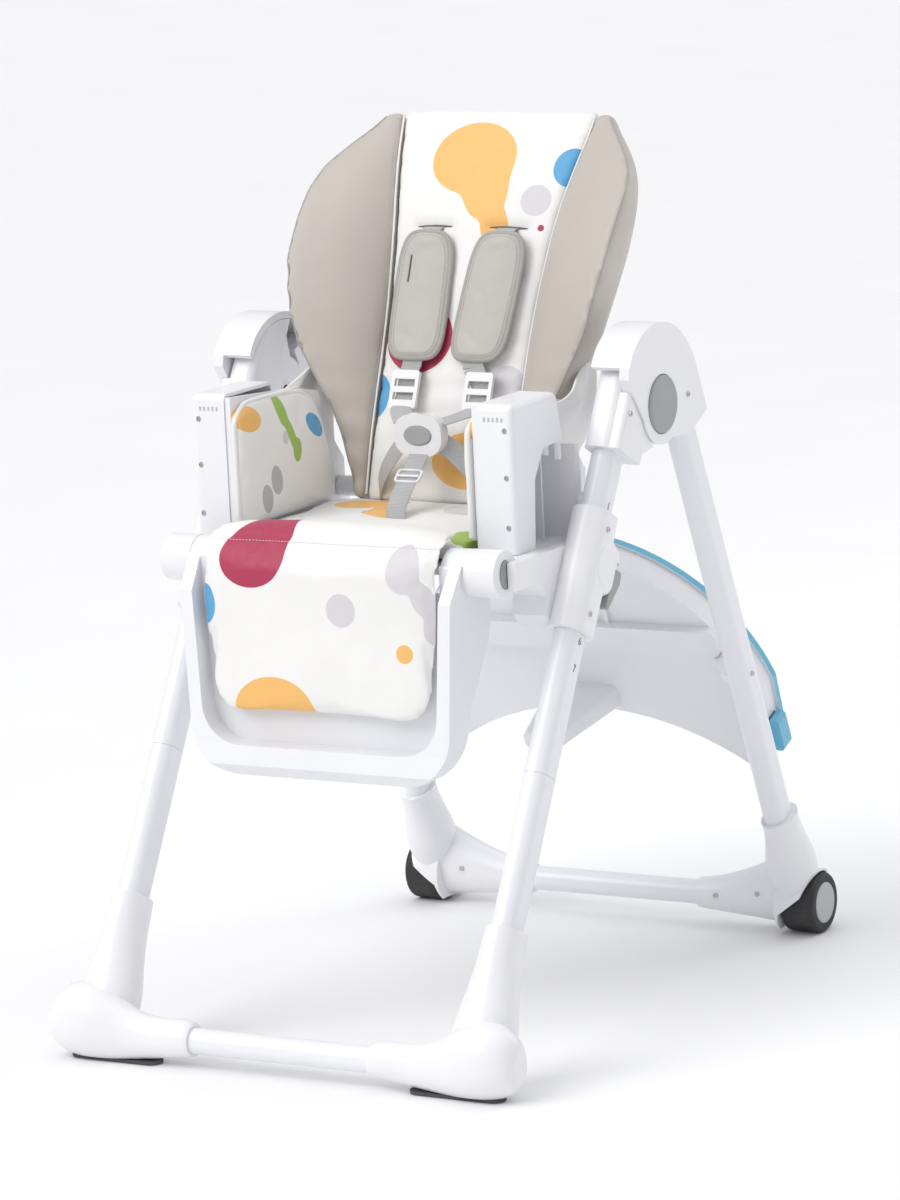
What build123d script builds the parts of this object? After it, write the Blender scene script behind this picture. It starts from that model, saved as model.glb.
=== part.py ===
from build123d import *
from math import cos, radians, sin
import os

# Folding baby high chair. Millimetres, X across, the front is -Y, the floor is Z = 0.
# The right-hand parts lie on +X; the left-hand ones are their mirror images.

# Side hubs and legs
PIVOT_Y, PIVOT_Z = 46, 698            # fold axis of both side hubs
FRONT_LEAN = radians(29.8)            # front legs lean forward from the hubs
REAR_LEAN = radians(-22.6)            # rear legs lean backward from the hubs
FRONT_OFFSET, REAR_OFFSET = -46, 65   # leg axes from the fold axis, square to each leg
FRONT_LEG_X, REAR_LEG_X = 245, 249
TUBE_DEPTH, TUBE_WIDTH, TUBE_WALL = 44, 29, 1.6
LEG_TOP, LEG_JOINT, LEG_FOOT = 46, -460, -745       # along the front leg, from the hub
REAR_TOP, REAR_FOOT = 20, -690                      # along the rear leg, from the hub
FIT = 0.3                                           # clearance of sliding plastic

# Feet and wheels
FRONT_FOOT_Y, FRONT_FOOT_Z = -395, 31
REAR_FOOT_Y, WHEEL_R = 391, 36.5
CROSS_R, CROSS_HALF, SLEEVE_X = 15, 214, 117
WHEEL_IN, WHEEL_OUT, RIM_R, AXLE_R = 240, 284, 25, 5
SOLE = 4

# Hubs
HUB_IN, HUB_SKIN, HUB_OUT = 226, 262.5, 275
DISC_R, CAP_R, PLATE_R, BOSS_R = 46, 84, 40, 16.5
BUTTON_R, RECESS_X = 33.5, 265
PIN_R, PIN_BORE = 12, 6.5

# Seat
SEAT_HALF, WALL_T, PAN_Z, PAN_T = 165, 7, 545, 8
SEAT_FRONT, WALL_FRONT, SEAT_REAR = -232, -184, 58
HINGE_Y, HINGE_Z, KNUCKLE_R = -229, 549, 27          # leg rest hinge
KNUCKLE_SPLIT, KNUCKLE_OUT = 178.5, 217
ARM_OUT, ARM_TOP, ARM_BASE = 210, 730, 562.3
SLEEVE_TOP, SLEEVE_BASE = -150, -292                 # slider sleeve along the front leg
LOCK_ALONG, LOCK_PITCH = -205, 32

# Backrest
BACK_LEAN = radians(22)
BACK_Y, BACK_Z = -7, 603              # foot of the back pad's front face
BACK_PAD, SHELL_T = 50, 8
BACK_AXIS_DEPTH, BACK_AXIS_ALONG = 54, 5

# Tray, stowed behind the rear legs with its underside forward
TRAY_FACE = 27                        # latch bar face, behind the rear leg axis
TRAY_HALF, TRAY_TOP, TRAY_BASE, TRAY_ARCH = 245, -275, -580, -512

os.makedirs("parts", exist_ok=True)


def leg_vectors(lean):
    """Unit vectors up along a leg and square to it towards the back."""
    return Vector(0, sin(lean), cos(lean)), Vector(0, cos(lean), -sin(lean))


def leg_point(offset, lean, along):
    """(Y, Z) of a point given from the fold axis in a leg's own directions."""
    up, back = leg_vectors(lean)
    point = Vector(0, PIVOT_Y, PIVOT_Z) + back * offset + up * along
    return (point.Y, point.Z)


def leg_plane(x, offset, lean, along):
    """Plane across a leg: its Y points to the back and its Z up along the leg."""
    up, back = leg_vectors(lean)
    origin = Vector(x, PIVOT_Y, PIVOT_Z) + back * offset + up * along
    return Plane(origin=origin, x_dir=(1, 0, 0), z_dir=up)


def leg_back_plane(x, offset, lean, along):
    """Plane facing backwards from a leg: its X is across and its Y down the leg."""
    up, back = leg_vectors(lean)
    origin = Vector(x, PIVOT_Y, PIVOT_Z) + back * offset + up * along
    return Plane(origin=origin, x_dir=(1, 0, 0), z_dir=back)


def back_plane(depth):
    """Plane of the backrest's front face, moved forward by depth: X across, Y up it."""
    front = Vector(0, -cos(BACK_LEAN), sin(BACK_LEAN))
    origin = Vector(0, BACK_Y, BACK_Z) + front * depth
    return Plane(origin=origin, x_dir=(1, 0, 0), z_dir=front)


def back_section(along):
    """Plane across the backrest at a height along it: X across, Y to the back."""
    up = Vector(0, sin(BACK_LEAN), cos(BACK_LEAN))
    origin = Vector(0, BACK_Y, BACK_Z) + up * along
    return Plane(origin=origin, x_dir=(1, 0, 0), z_dir=up)


def back_point(depth, along):
    """(Y, Z) of a point in front of the backrest's face by depth."""
    y = BACK_Y - depth * cos(BACK_LEAN) + along * sin(BACK_LEAN)
    z = BACK_Z + depth * sin(BACK_LEAN) + along * cos(BACK_LEAN)
    return (y, z)


def side(x):
    """Side view plane at X = x: its X is the model's Y and its Y the model's Z."""
    return Plane.YZ.offset(x)


def save(part, name):
    part.label = name
    export_step(part, f"parts/{name}.step")


def save_pair(part, name):
    """Writes a right-hand piece and its mirror image."""
    save(part, f"{name}_right")
    save(mirror(part, about=Plane.YZ), f"{name}_left")


def save_group(parts, name):
    """Writes identical pieces as separate solids of one node."""
    solids = [solid for part in parts for solid in part.solids()]
    save(Compound(children=solids), name)


def both_sides(part):
    return [part, mirror(part, about=Plane.YZ)]


# ---------------------------------------------------------------- front legs

with BuildPart() as front_leg:
    with BuildSketch(leg_plane(FRONT_LEG_X, FRONT_OFFSET, FRONT_LEAN, LEG_JOINT)):
        SlotOverall(TUBE_DEPTH, TUBE_WIDTH, rotation=90)
        SlotOverall(TUBE_DEPTH - 2 * TUBE_WALL, TUBE_WIDTH - 2 * TUBE_WALL, rotation=90, mode=Mode.SUBTRACT)
    extrude(amount=LEG_TOP - LEG_JOINT)
    # seven lock holes in the back of the tube
    for step in range(-4, 3):
        hole_along = LOCK_ALONG + step * LOCK_PITCH
        with BuildSketch(leg_back_plane(FRONT_LEG_X, FRONT_OFFSET + TUBE_DEPTH / 2 - 5, FRONT_LEAN, hole_along)):
            Circle(4.4)
        extrude(amount=8, mode=Mode.SUBTRACT)
save_pair(front_leg.part, "front_leg")

with BuildPart() as lower_leg:
    with BuildSketch(leg_plane(FRONT_LEG_X, FRONT_OFFSET, FRONT_LEAN, LEG_FOOT)):
        SlotOverall(TUBE_DEPTH, TUBE_WIDTH, rotation=90)
        SlotOverall(TUBE_DEPTH - 2 * TUBE_WALL, TUBE_WIDTH - 2 * TUBE_WALL, rotation=90, mode=Mode.SUBTRACT)
    extrude(amount=LEG_JOINT - FIT - LEG_FOOT)
    # plug in the mouth and reduced spigot that slips into the upper tube
    spigot = 2 * TUBE_WALL + 0.4
    for start, length, slack in ((LEG_JOINT - 40, 39.5, 0), (LEG_JOINT - 40, 90, spigot)):
        with BuildSketch(leg_plane(FRONT_LEG_X, FRONT_OFFSET, FRONT_LEAN, start)):
            SlotOverall(TUBE_DEPTH - 2 - slack, TUBE_WIDTH - 2 - slack, rotation=90)
            SlotOverall(TUBE_DEPTH - spigot - 6, TUBE_WIDTH - spigot - 6, rotation=90, mode=Mode.SUBTRACT)
        extrude(amount=length)
save_pair(lower_leg.part, "front_lower_leg")

with BuildPart() as front_cross_tube:
    with BuildSketch(side(-CROSS_HALF)):
        with Locations((FRONT_FOOT_Y, FRONT_FOOT_Z)):
            Circle(CROSS_R)
            Circle(CROSS_R - TUBE_WALL, mode=Mode.SUBTRACT)
    extrude(amount=2 * CROSS_HALF)
save(front_cross_tube.part, "front_cross_tube")

# ---------------------------------------------------------------- front feet

# boot sections across X: (x, half depth, half height, centre height)
BOOT_SECTIONS = ((SLEEVE_X, 18.5, 18.5, FRONT_FOOT_Z), (170, 21, 24, 30), (225, 31, 38, 38), (266, 36, 43, 44),
                 (293, 27, 32, 42), (302, 12, 16, 40))
with BuildPart() as front_foot:
    for x, half_depth, half_height, height in BOOT_SECTIONS:
        with BuildSketch(side(x)):
            with Locations((FRONT_FOOT_Y, height)):
                Ellipse(half_depth, half_height)
    loft()
    # ankle that grips the leg
    for along, half_width, half_depth in ((-638, 21.5, 29.5), (-675, 24, 30.5), (-715, 30, 32), (-755, 37, 35), (-785, 35, 33)):
        with BuildSketch(leg_plane(FRONT_LEG_X, FRONT_OFFSET, FRONT_LEAN, along)):
            Ellipse(half_width, half_depth)
    loft()
    with BuildSketch(leg_plane(FRONT_LEG_X, FRONT_OFFSET, FRONT_LEAN, LEG_FOOT - 0.5)):
        SlotOverall(TUBE_DEPTH + 0.2, TUBE_WIDTH + 0.2, rotation=90)
    extrude(amount=150, mode=Mode.SUBTRACT)
    with BuildSketch(side(SLEEVE_X - 1)):
        with Locations((FRONT_FOOT_Y, FRONT_FOOT_Z)):
            Circle(CROSS_R + 0.1)
    extrude(amount=CROSS_HALF + 1 - SLEEVE_X, mode=Mode.SUBTRACT)
    split(bisect_by=Plane.XY.offset(SOLE), keep=Keep.TOP)
save_pair(front_foot.part, "front_foot")

with BuildPart() as foot_sole:
    with BuildSketch(Plane.XY):
        with Locations((222, FRONT_FOOT_Y)):
            SlotOverall(118, 26)
    extrude(amount=SOLE - 0.05)
    fillet(foot_sole.edges().group_by(Axis.Z)[0], 1.2)
save_group(both_sides(foot_sole.part), "front_foot_soles")

# ---------------------------------------------------------------- rear legs

with BuildPart() as rear_leg:
    with BuildSketch(leg_plane(REAR_LEG_X, REAR_OFFSET, REAR_LEAN, REAR_FOOT)):
        SlotOverall(TUBE_DEPTH - 2, TUBE_WIDTH - 2, rotation=90)
        SlotOverall(TUBE_DEPTH - 2 - 2 * TUBE_WALL, TUBE_WIDTH - 2 - 2 * TUBE_WALL, rotation=90, mode=Mode.SUBTRACT)
    extrude(amount=REAR_TOP - REAR_FOOT)
save_pair(rear_leg.part, "rear_leg")

with BuildPart() as rear_cross_tube:
    with BuildSketch(side(-CROSS_HALF)):
        with Locations((REAR_FOOT_Y, WHEEL_R)):
            Circle(CROSS_R)
            Circle(CROSS_R - TUBE_WALL, mode=Mode.SUBTRACT)
    extrude(amount=2 * CROSS_HALF)
save(rear_cross_tube.part, "rear_cross_tube")

# ---------------------------------------------------------------- rear feet and wheels

# arm sections across X: (x, half depth, half height, centre height)
ARM_SECTIONS = ((SLEEVE_X, 19, 19, WHEEL_R), (160, 21, 25, 39), (200, 25, 34, 45), (WHEEL_IN - 3, 31, 45, 52))
with BuildPart() as rear_foot:
    for x, half_depth, half_height, height in ARM_SECTIONS:
        with BuildSketch(side(x)):
            with Locations((REAR_FOOT_Y, height)):
                Ellipse(half_depth, half_height)
    loft()
    # fender over the wheel, open at the outside and below
    with BuildSketch(side(WHEEL_IN - 6)):
        with Locations((REAR_FOOT_Y, WHEEL_R)):
            Circle(WHEEL_R + 4.4)
    extrude(amount=WHEEL_OUT - WHEEL_IN + 4)
    # ankle that grips the leg
    for along, half_width, half_depth in ((-618, 21, 28.5), (-650, 23, 30), (-690, 30, 34), (-716, 25, 30)):
        with BuildSketch(leg_plane(REAR_LEG_X + 2, REAR_OFFSET, REAR_LEAN, along)):
            Ellipse(half_width, half_depth)
    loft()
    with BuildSketch(side(WHEEL_IN - 2)):
        with Locations((REAR_FOOT_Y, WHEEL_R)):
            Circle(WHEEL_R + 1.8)
    extrude(amount=60, mode=Mode.SUBTRACT)
    with BuildSketch(leg_plane(REAR_LEG_X, REAR_OFFSET, REAR_LEAN, REAR_FOOT - 0.5)):
        SlotOverall(TUBE_DEPTH - 1.8, TUBE_WIDTH - 1.8, rotation=90)
    extrude(amount=150, mode=Mode.SUBTRACT)
    with BuildSketch(side(SLEEVE_X - 1)):
        with Locations((REAR_FOOT_Y, WHEEL_R)):
            Circle(CROSS_R + 0.1)
    extrude(amount=CROSS_HALF + 1 - SLEEVE_X, mode=Mode.SUBTRACT)
    with BuildSketch(side(CROSS_HALF - 1)):
        with Locations((REAR_FOOT_Y, WHEEL_R)):
            Circle(AXLE_R)
    extrude(amount=WHEEL_IN - CROSS_HALF + 1, mode=Mode.SUBTRACT)
    # slanted mouth that bares the tread at the front, the outside and below
    with BuildSketch(Plane.XZ.offset(-REAR_FOOT_Y - 80)):
        with BuildLine():
            Polyline((WHEEL_IN - 8, -10), (WHEEL_IN - 1, 26), (WHEEL_OUT - 16, 48), (WHEEL_OUT - 4, 76),
                     (WHEEL_OUT + 20, 90), (WHEEL_OUT + 20, -10), close=True)
        make_face()
    extrude(amount=160, mode=Mode.SUBTRACT)
    split(bisect_by=Plane.XY.offset(SOLE + 2), keep=Keep.TOP)
save_pair(rear_foot.part, "rear_foot")

with BuildPart() as wheel_axle:
    with BuildSketch(side(CROSS_HALF + 2)):
        with Locations((REAR_FOOT_Y, WHEEL_R)):
            Circle(AXLE_R)
    extrude(amount=WHEEL_OUT - 4 - CROSS_HALF - 2)
save_group(both_sides(wheel_axle.part), "wheel_axles")

with BuildPart() as wheel_tyre:
    with BuildSketch(side(WHEEL_IN)):
        with Locations((REAR_FOOT_Y, WHEEL_R)):
            Circle(WHEEL_R)
            Circle(RIM_R, mode=Mode.SUBTRACT)
    extrude(amount=WHEEL_OUT - WHEEL_IN)
    fillet(wheel_tyre.edges().filter_by(GeomType.CIRCLE).sort_by(SortBy.RADIUS)[-2:], 4.5)
save_pair(wheel_tyre.part, "wheel_tyre")

with BuildPart() as wheel_cap:
    with BuildSketch(side(WHEEL_IN + 1)):
        with Locations((REAR_FOOT_Y, WHEEL_R)):
            Circle(RIM_R)
    extrude(amount=WHEEL_OUT - WHEEL_IN)
    fillet(wheel_cap.faces().sort_by(Axis.X)[-1].edges(), 2)
    with BuildSketch(side(WHEEL_IN)):
        with Locations((REAR_FOOT_Y, WHEEL_R)):
            Circle(AXLE_R + 0.06)
    extrude(amount=WHEEL_OUT - 3 - WHEEL_IN, mode=Mode.SUBTRACT)
save_pair(wheel_cap.part, "wheel_hub")

# ---------------------------------------------------------------- side hubs

PIVOT = (PIVOT_Y, PIVOT_Z)
SOCKET_FRONT, SOCKET_BACK = FRONT_OFFSET - 30, FRONT_OFFSET + 29
SOCKET_BASE = -80


def below_split(sketch_gap):
    """Side view region of the front hub below and ahead of the split line, grown by a gap."""
    with BuildSketch(Plane.XY) as region:
        with BuildLine():
            Polyline((PIVOT_Y - 22 + sketch_gap, PIVOT_Z - 47 - sketch_gap),
                     (PIVOT_Y - 22 + sketch_gap, PIVOT_Z - 40 + sketch_gap),
                     (PIVOT_Y - 45 + sketch_gap, PIVOT_Z - 14 + sketch_gap),
                     (PIVOT_Y - 66, PIVOT_Z + 18 + sketch_gap),
                     (PIVOT_Y - 82, PIVOT_Z + 44 + sketch_gap),
                     (PIVOT_Y - 120, PIVOT_Z + 60), (PIVOT_Y - 160, PIVOT_Z - 110),
                     (PIVOT_Y - 60, PIVOT_Z - 110), close=True)
        make_face()
    return region.sketch


def strip(back_edge, front_edge, base, top):
    """Side view strip along the front leg between two offsets from the fold axis."""
    with BuildSketch(Plane.XY) as region:
        with BuildLine():
            Polyline(leg_point(front_edge, FRONT_LEAN, base), leg_point(back_edge, FRONT_LEAN, base),
                     leg_point(back_edge, FRONT_LEAN, top), leg_point(front_edge, FRONT_LEAN, top), close=True)
        make_face()
    return region.sketch


cover_region = below_split(0)

with BuildPart() as hub_front:
    # outer cover ahead of the split line
    with BuildSketch(side(HUB_SKIN - 8)):
        add(strip(SOCKET_BACK, SOCKET_FRONT + 4, SOCKET_BASE, 60))
        with BuildLine():
            Polyline(leg_point(SOCKET_BACK - 4, FRONT_LEAN, SOCKET_BASE + 10), (PIVOT_Y - 22, PIVOT_Z - 46),
                     (PIVOT_Y - 22, PIVOT_Z), leg_point(SOCKET_BACK - 4, FRONT_LEAN, 0), close=True)
        make_face()
        add(cover_region, mode=Mode.INTERSECT)
        with Locations(PIVOT):
            Circle(DISC_R + 1, mode=Mode.SUBTRACT)
    extrude(amount=HUB_OUT - 3 - HUB_SKIN + 8)
    fillet(hub_front.faces().sort_by(Axis.X)[-1].edges().sort_by(Axis.Y)[0], 6)
    # socket round the leg
    with BuildSketch(leg_plane((HUB_IN + HUB_SKIN) / 2 - 0.25, FRONT_OFFSET, FRONT_LEAN, SOCKET_BASE)):
        with Locations((0, -0.5)):
            RectangleRounded(HUB_SKIN - HUB_IN - 0.5, 59, 12)
    extrude(amount=180)
    # pivot plate
    with BuildSketch(side(HUB_IN)):
        with Locations(PIVOT):
            Circle(PLATE_R)
        with BuildLine():
            Polyline(leg_point(SOCKET_BACK - 10, FRONT_LEAN, SOCKET_BASE + 24), (PIVOT_Y + 8, PIVOT_Z - 38.5),
                     (PIVOT_Y + 14, PIVOT_Z + 36.5), leg_point(SOCKET_BACK - 10, FRONT_LEAN, 60), close=True)
        make_face()
    extrude(amount=25)
    # round top about the fold axis, so that the rear half's cap can turn over it
    with BuildSketch(side(HUB_IN - 5)):
        with Locations(PIVOT):
            Circle(CAP_R)
        with BuildLine():
            Polyline((PIVOT_Y - 160, PIVOT_Z + 20), PIVOT, (PIVOT_Y, PIVOT_Z - 140), (PIVOT_Y - 160, PIVOT_Z - 140),
                     close=True)
        make_face()
    extrude(amount=60, mode=Mode.INTERSECT)
    with BuildSketch(side(HUB_IN + 25.5)):
        with Locations(PIVOT):
            Circle(BOSS_R + 0.5)
    extrude(amount=60, mode=Mode.SUBTRACT)
    with BuildSketch(leg_plane(FRONT_LEG_X, FRONT_OFFSET, FRONT_LEAN, SOCKET_BASE - 30)):
        SlotOverall(TUBE_DEPTH + 0.2, TUBE_WIDTH + 0.2, rotation=90)
    extrude(amount=LEG_TOP + 0.3 - SOCKET_BASE + 30, mode=Mode.SUBTRACT)
    with BuildSketch(side(HUB_IN - 1)):
        with Locations(PIVOT):
            Circle(PIN_R)
    extrude(amount=30, mode=Mode.SUBTRACT)
save_pair(hub_front.part, "hub_front")


def dome_outline(front_points, inner_points):
    """Side view of the rear hub: a round top, the rear leg's socket and its lower edge."""
    with BuildSketch(Plane.XY) as outline:
        with BuildLine():
            dome = Spline((PIVOT_Y - 75, PIVOT_Z + 52), (PIVOT_Y - 58, PIVOT_Z + 74), (PIVOT_Y - 30, PIVOT_Z + 89),
                          (PIVOT_Y + 4, PIVOT_Z + 93), (PIVOT_Y + 42, PIVOT_Z + 82), (PIVOT_Y + 70, PIVOT_Z + 58),
                          leg_point(REAR_OFFSET + 27, REAR_LEAN, -14))
            Polyline(dome @ 1, leg_point(REAR_OFFSET + 27, REAR_LEAN, -62), leg_point(REAR_OFFSET - 25, REAR_LEAN, -64),
                     *inner_points, *front_points, dome @ 0)
        make_face()
    return outline.sketch


with BuildPart() as hub_rear:
    # outer skin behind the split line, with the button disc
    skin_outline = dome_outline([(PIVOT_Y - 80, PIVOT_Z + 30)], [(PIVOT_Y + 22, PIVOT_Z - 41), (PIVOT_Y - 44, PIVOT_Z - 13)])
    rear_region = below_split(1)
    with BuildSketch(side(HUB_SKIN)):
        add(skin_outline)
        add(rear_region, mode=Mode.SUBTRACT)
        with Locations(PIVOT):
            Circle(DISC_R)
    extrude(amount=HUB_OUT - HUB_SKIN)
    # cap over the front socket and body round the rear leg, clear of the front half
    cap_outline = dome_outline([(PIVOT_Y - 62, PIVOT_Z + 42)], [(PIVOT_Y + 36, PIVOT_Z - 26), (PIVOT_Y - 6, PIVOT_Z + 20)])
    with BuildSketch(side(HUB_IN)):
        add(cap_outline)
        with Locations(PIVOT):
            Circle(CAP_R + 0.6, mode=Mode.SUBTRACT)
    extrude(amount=HUB_SKIN - HUB_IN)
    with BuildSketch(side(HUB_IN + 2)):
        with BuildLine():
            Polyline(leg_point(REAR_OFFSET - 23, REAR_LEAN, 30), leg_point(REAR_OFFSET + 26, REAR_LEAN, 30),
                     leg_point(REAR_OFFSET + 26, REAR_LEAN, -62), leg_point(REAR_OFFSET - 24, REAR_LEAN, -63), close=True)
        make_face()
        with Locations(PIVOT):
            Circle(PLATE_R + 1, mode=Mode.SUBTRACT)
    extrude(amount=HUB_SKIN - HUB_IN - 2)
    with BuildSketch(side(HUB_IN + 26)):
        with Locations(PIVOT):
            Circle(BOSS_R)
    extrude(amount=20)
    with BuildSketch(leg_plane(REAR_LEG_X, REAR_OFFSET, REAR_LEAN, -120)):
        SlotOverall(TUBE_DEPTH - 1.8, TUBE_WIDTH - 1.8, rotation=90)
    extrude(amount=REAR_TOP + 120.5, mode=Mode.SUBTRACT)
    # recess for the fold button and bore for the pin
    with BuildSketch(side(RECESS_X)):
        with Locations(PIVOT):
            Circle(BUTTON_R + 0.8)
    extrude(amount=30, mode=Mode.SUBTRACT)
    with BuildSketch(side(HUB_IN + 20)):
        with Locations(PIVOT):
            Circle(PIN_R + 0.06)
    extrude(amount=60, mode=Mode.SUBTRACT)
save_pair(hub_rear.part, "hub_rear")

with BuildPart() as hub_pin:
    with BuildSketch(side(HUB_IN)):
        with Locations(PIVOT):
            Circle(PIN_R)
    extrude(amount=RECESS_X - HUB_IN + 1)
    with BuildSketch(side(RECESS_X + 0.2)):
        with Locations(PIVOT):
            Circle(PIN_R + 4)
    extrude(amount=1.8)
    with BuildSketch(side(HUB_IN)):
        with Locations(PIVOT):
            Circle(PIN_BORE)
    extrude(amount=50, mode=Mode.SUBTRACT)
save_group(both_sides(hub_pin.part), "hub_pins")

with BuildPart() as fold_button:
    with BuildSketch(side(HUB_OUT - 2)):
        with Locations(PIVOT):
            Circle(BUTTON_R)
    extrude(amount=4.5)
    fillet(fold_button.faces().sort_by(Axis.X)[-1].edges(), 2.5)
    with BuildSketch(side(HUB_IN + 8)):
        with Locations(PIVOT):
            Circle(PIN_BORE - 0.4)
    extrude(amount=HUB_OUT - HUB_IN - 8)
save_pair(fold_button.part, "fold_button")

SPRING_BASE = RECESS_X + 2.8
with BuildPart() as button_spring:
    with BuildLine() as coil:
        Helix(pitch=1.8, height=4.2, radius=10.5, center=(SPRING_BASE, PIVOT_Y, PIVOT_Z), direction=(1, 0, 0))
    with BuildSketch(Plane(origin=coil.line @ 0, z_dir=coil.line % 0)):
        Circle(0.6)
    sweep(path=coil.line, is_frenet=True)
save_group(both_sides(button_spring.part), "fold_springs")

# ---------------------------------------------------------------- seat shell

with BuildPart() as seat_shell:
    with BuildSketch(Plane.XZ.offset(-WALL_FRONT)):
        with Locations((0, (ARM_TOP + PAN_Z) / 2)):
            RectangleRounded(2 * SEAT_HALF, ARM_TOP - PAN_Z, 6)
        with Locations((0, (ARM_TOP + PAN_Z) / 2 + PAN_T)):
            RectangleRounded(2 * (SEAT_HALF - WALL_T), ARM_TOP - PAN_Z + 8, 12, mode=Mode.SUBTRACT)
    extrude(amount=WALL_FRONT - SEAT_REAR)
    # sloping top of the side walls
    with BuildSketch(side(-SEAT_HALF - 10)):
        with BuildLine():
            Polyline((WALL_FRONT - 10, ARM_TOP + 20), (WALL_FRONT - 10, ARM_TOP - 3), (-40, ARM_TOP - 14),
                     (6, ARM_TOP - 24), (40, 640), (SEAT_REAR + 10, 606), (SEAT_REAR + 10, ARM_TOP + 20), close=True)
        make_face()
    extrude(amount=2 * SEAT_HALF + 20, mode=Mode.SUBTRACT)
    # pan nose over the leg rest
    with BuildSketch(Plane.XY.offset(PAN_Z)):
        with Locations((0, (SEAT_FRONT + WALL_FRONT + 20) / 2)):
            RectangleRounded(294, WALL_FRONT + 20 - SEAT_FRONT, 8)
    extrude(amount=PAN_T)
    # room for the foot of the backrest, crotch strap slot and backrest pin holes
    with BuildSketch(Plane.XY.offset(PAN_Z - 5)):
        with Locations((0, 60)):
            Rectangle(2 * (SEAT_HALF - WALL_T), 70)
        with Locations((0, -95)):
            SlotOverall(46, 8)
    extrude(amount=PAN_T + 12, mode=Mode.SUBTRACT)
    back_axis = back_point(-BACK_AXIS_DEPTH, BACK_AXIS_ALONG)
    with BuildSketch(side(-SEAT_HALF - 5)):
        with Locations(back_axis):
            Circle(6)
    extrude(amount=2 * SEAT_HALF + 10, mode=Mode.SUBTRACT)
save(seat_shell.part, "seat_shell")

# ---------------------------------------------------------------- armrests

ARM_IN = SEAT_HALF + 0.3
with BuildPart() as armrest:
    with BuildSketch(side(ARM_IN)) as arm_outline:
        with BuildLine():
            Polyline((-186, ARM_BASE), (-186, ARM_TOP), (-81, ARM_TOP), (-66, 661), (-66, ARM_BASE), close=True)
        make_face()
        fillet(arm_outline.vertices().sort_by(Axis.Y)[-2:], 9)
    extrude(amount=ARM_OUT - ARM_IN)
    fillet(armrest.faces().sort_by(Axis.X)[-1].edges().filter_by(lambda edge: edge.center().Z > ARM_BASE + 5), 7)
    # hollow moulding, open towards the seat wall
    with BuildSketch(side(ARM_IN)):
        with BuildLine():
            Polyline((-182.5, ARM_BASE + 3), (-182.5, ARM_TOP - 4), (-85, ARM_TOP - 4), (-70, 661), (-70, ARM_BASE + 3), close=True)
        make_face()
    extrude(amount=ARM_OUT - ARM_IN - 4, mode=Mode.SUBTRACT)
    # arch through the outer wall and the back
    with BuildSketch(side(ARM_IN - 1)) as arch:
        with BuildLine():
            Polyline((-146, ARM_BASE - 1), (-140, 640), (-118, 672), (-50, 676), (-50, ARM_BASE - 1), close=True)
        make_face()
        fillet(arch.vertices().group_by(Axis.X)[1], 14)
    extrude(amount=60, mode=Mode.SUBTRACT)
    # ribbed panel behind the arch
    with BuildSketch(side(ARM_IN)):
        with BuildLine():
            Polyline((-183, ARM_BASE + 0.1), (-183, 690), (-72, 690), (-66, 661), (-66, ARM_BASE + 0.1), close=True)
        make_face()
    extrude(amount=3.5)
    for rib_y in (-132, -112, -92):
        with BuildSketch(side(ARM_IN)):
            with Locations((rib_y, 620)):
                Rectangle(3, 112)
        extrude(amount=26)
    # tray ratchet slots and screw wells in the front face
    with BuildSketch(Plane.XZ.offset(184)):
        with Locations((186, ARM_TOP - 17)):
            with GridLocations(5.5, 1, 5, 1):
                Rectangle(3, 5)
    extrude(amount=5, mode=Mode.SUBTRACT)
    with BuildSketch(Plane.XZ.offset(180)):
        with Locations((200, 701), (200, 648), (200, 592)):
            Circle(3.4)
    extrude(amount=10, mode=Mode.SUBTRACT)
save_pair(armrest.part, "armrest")

# ---------------------------------------------------------------- sliders with seat brackets

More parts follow.
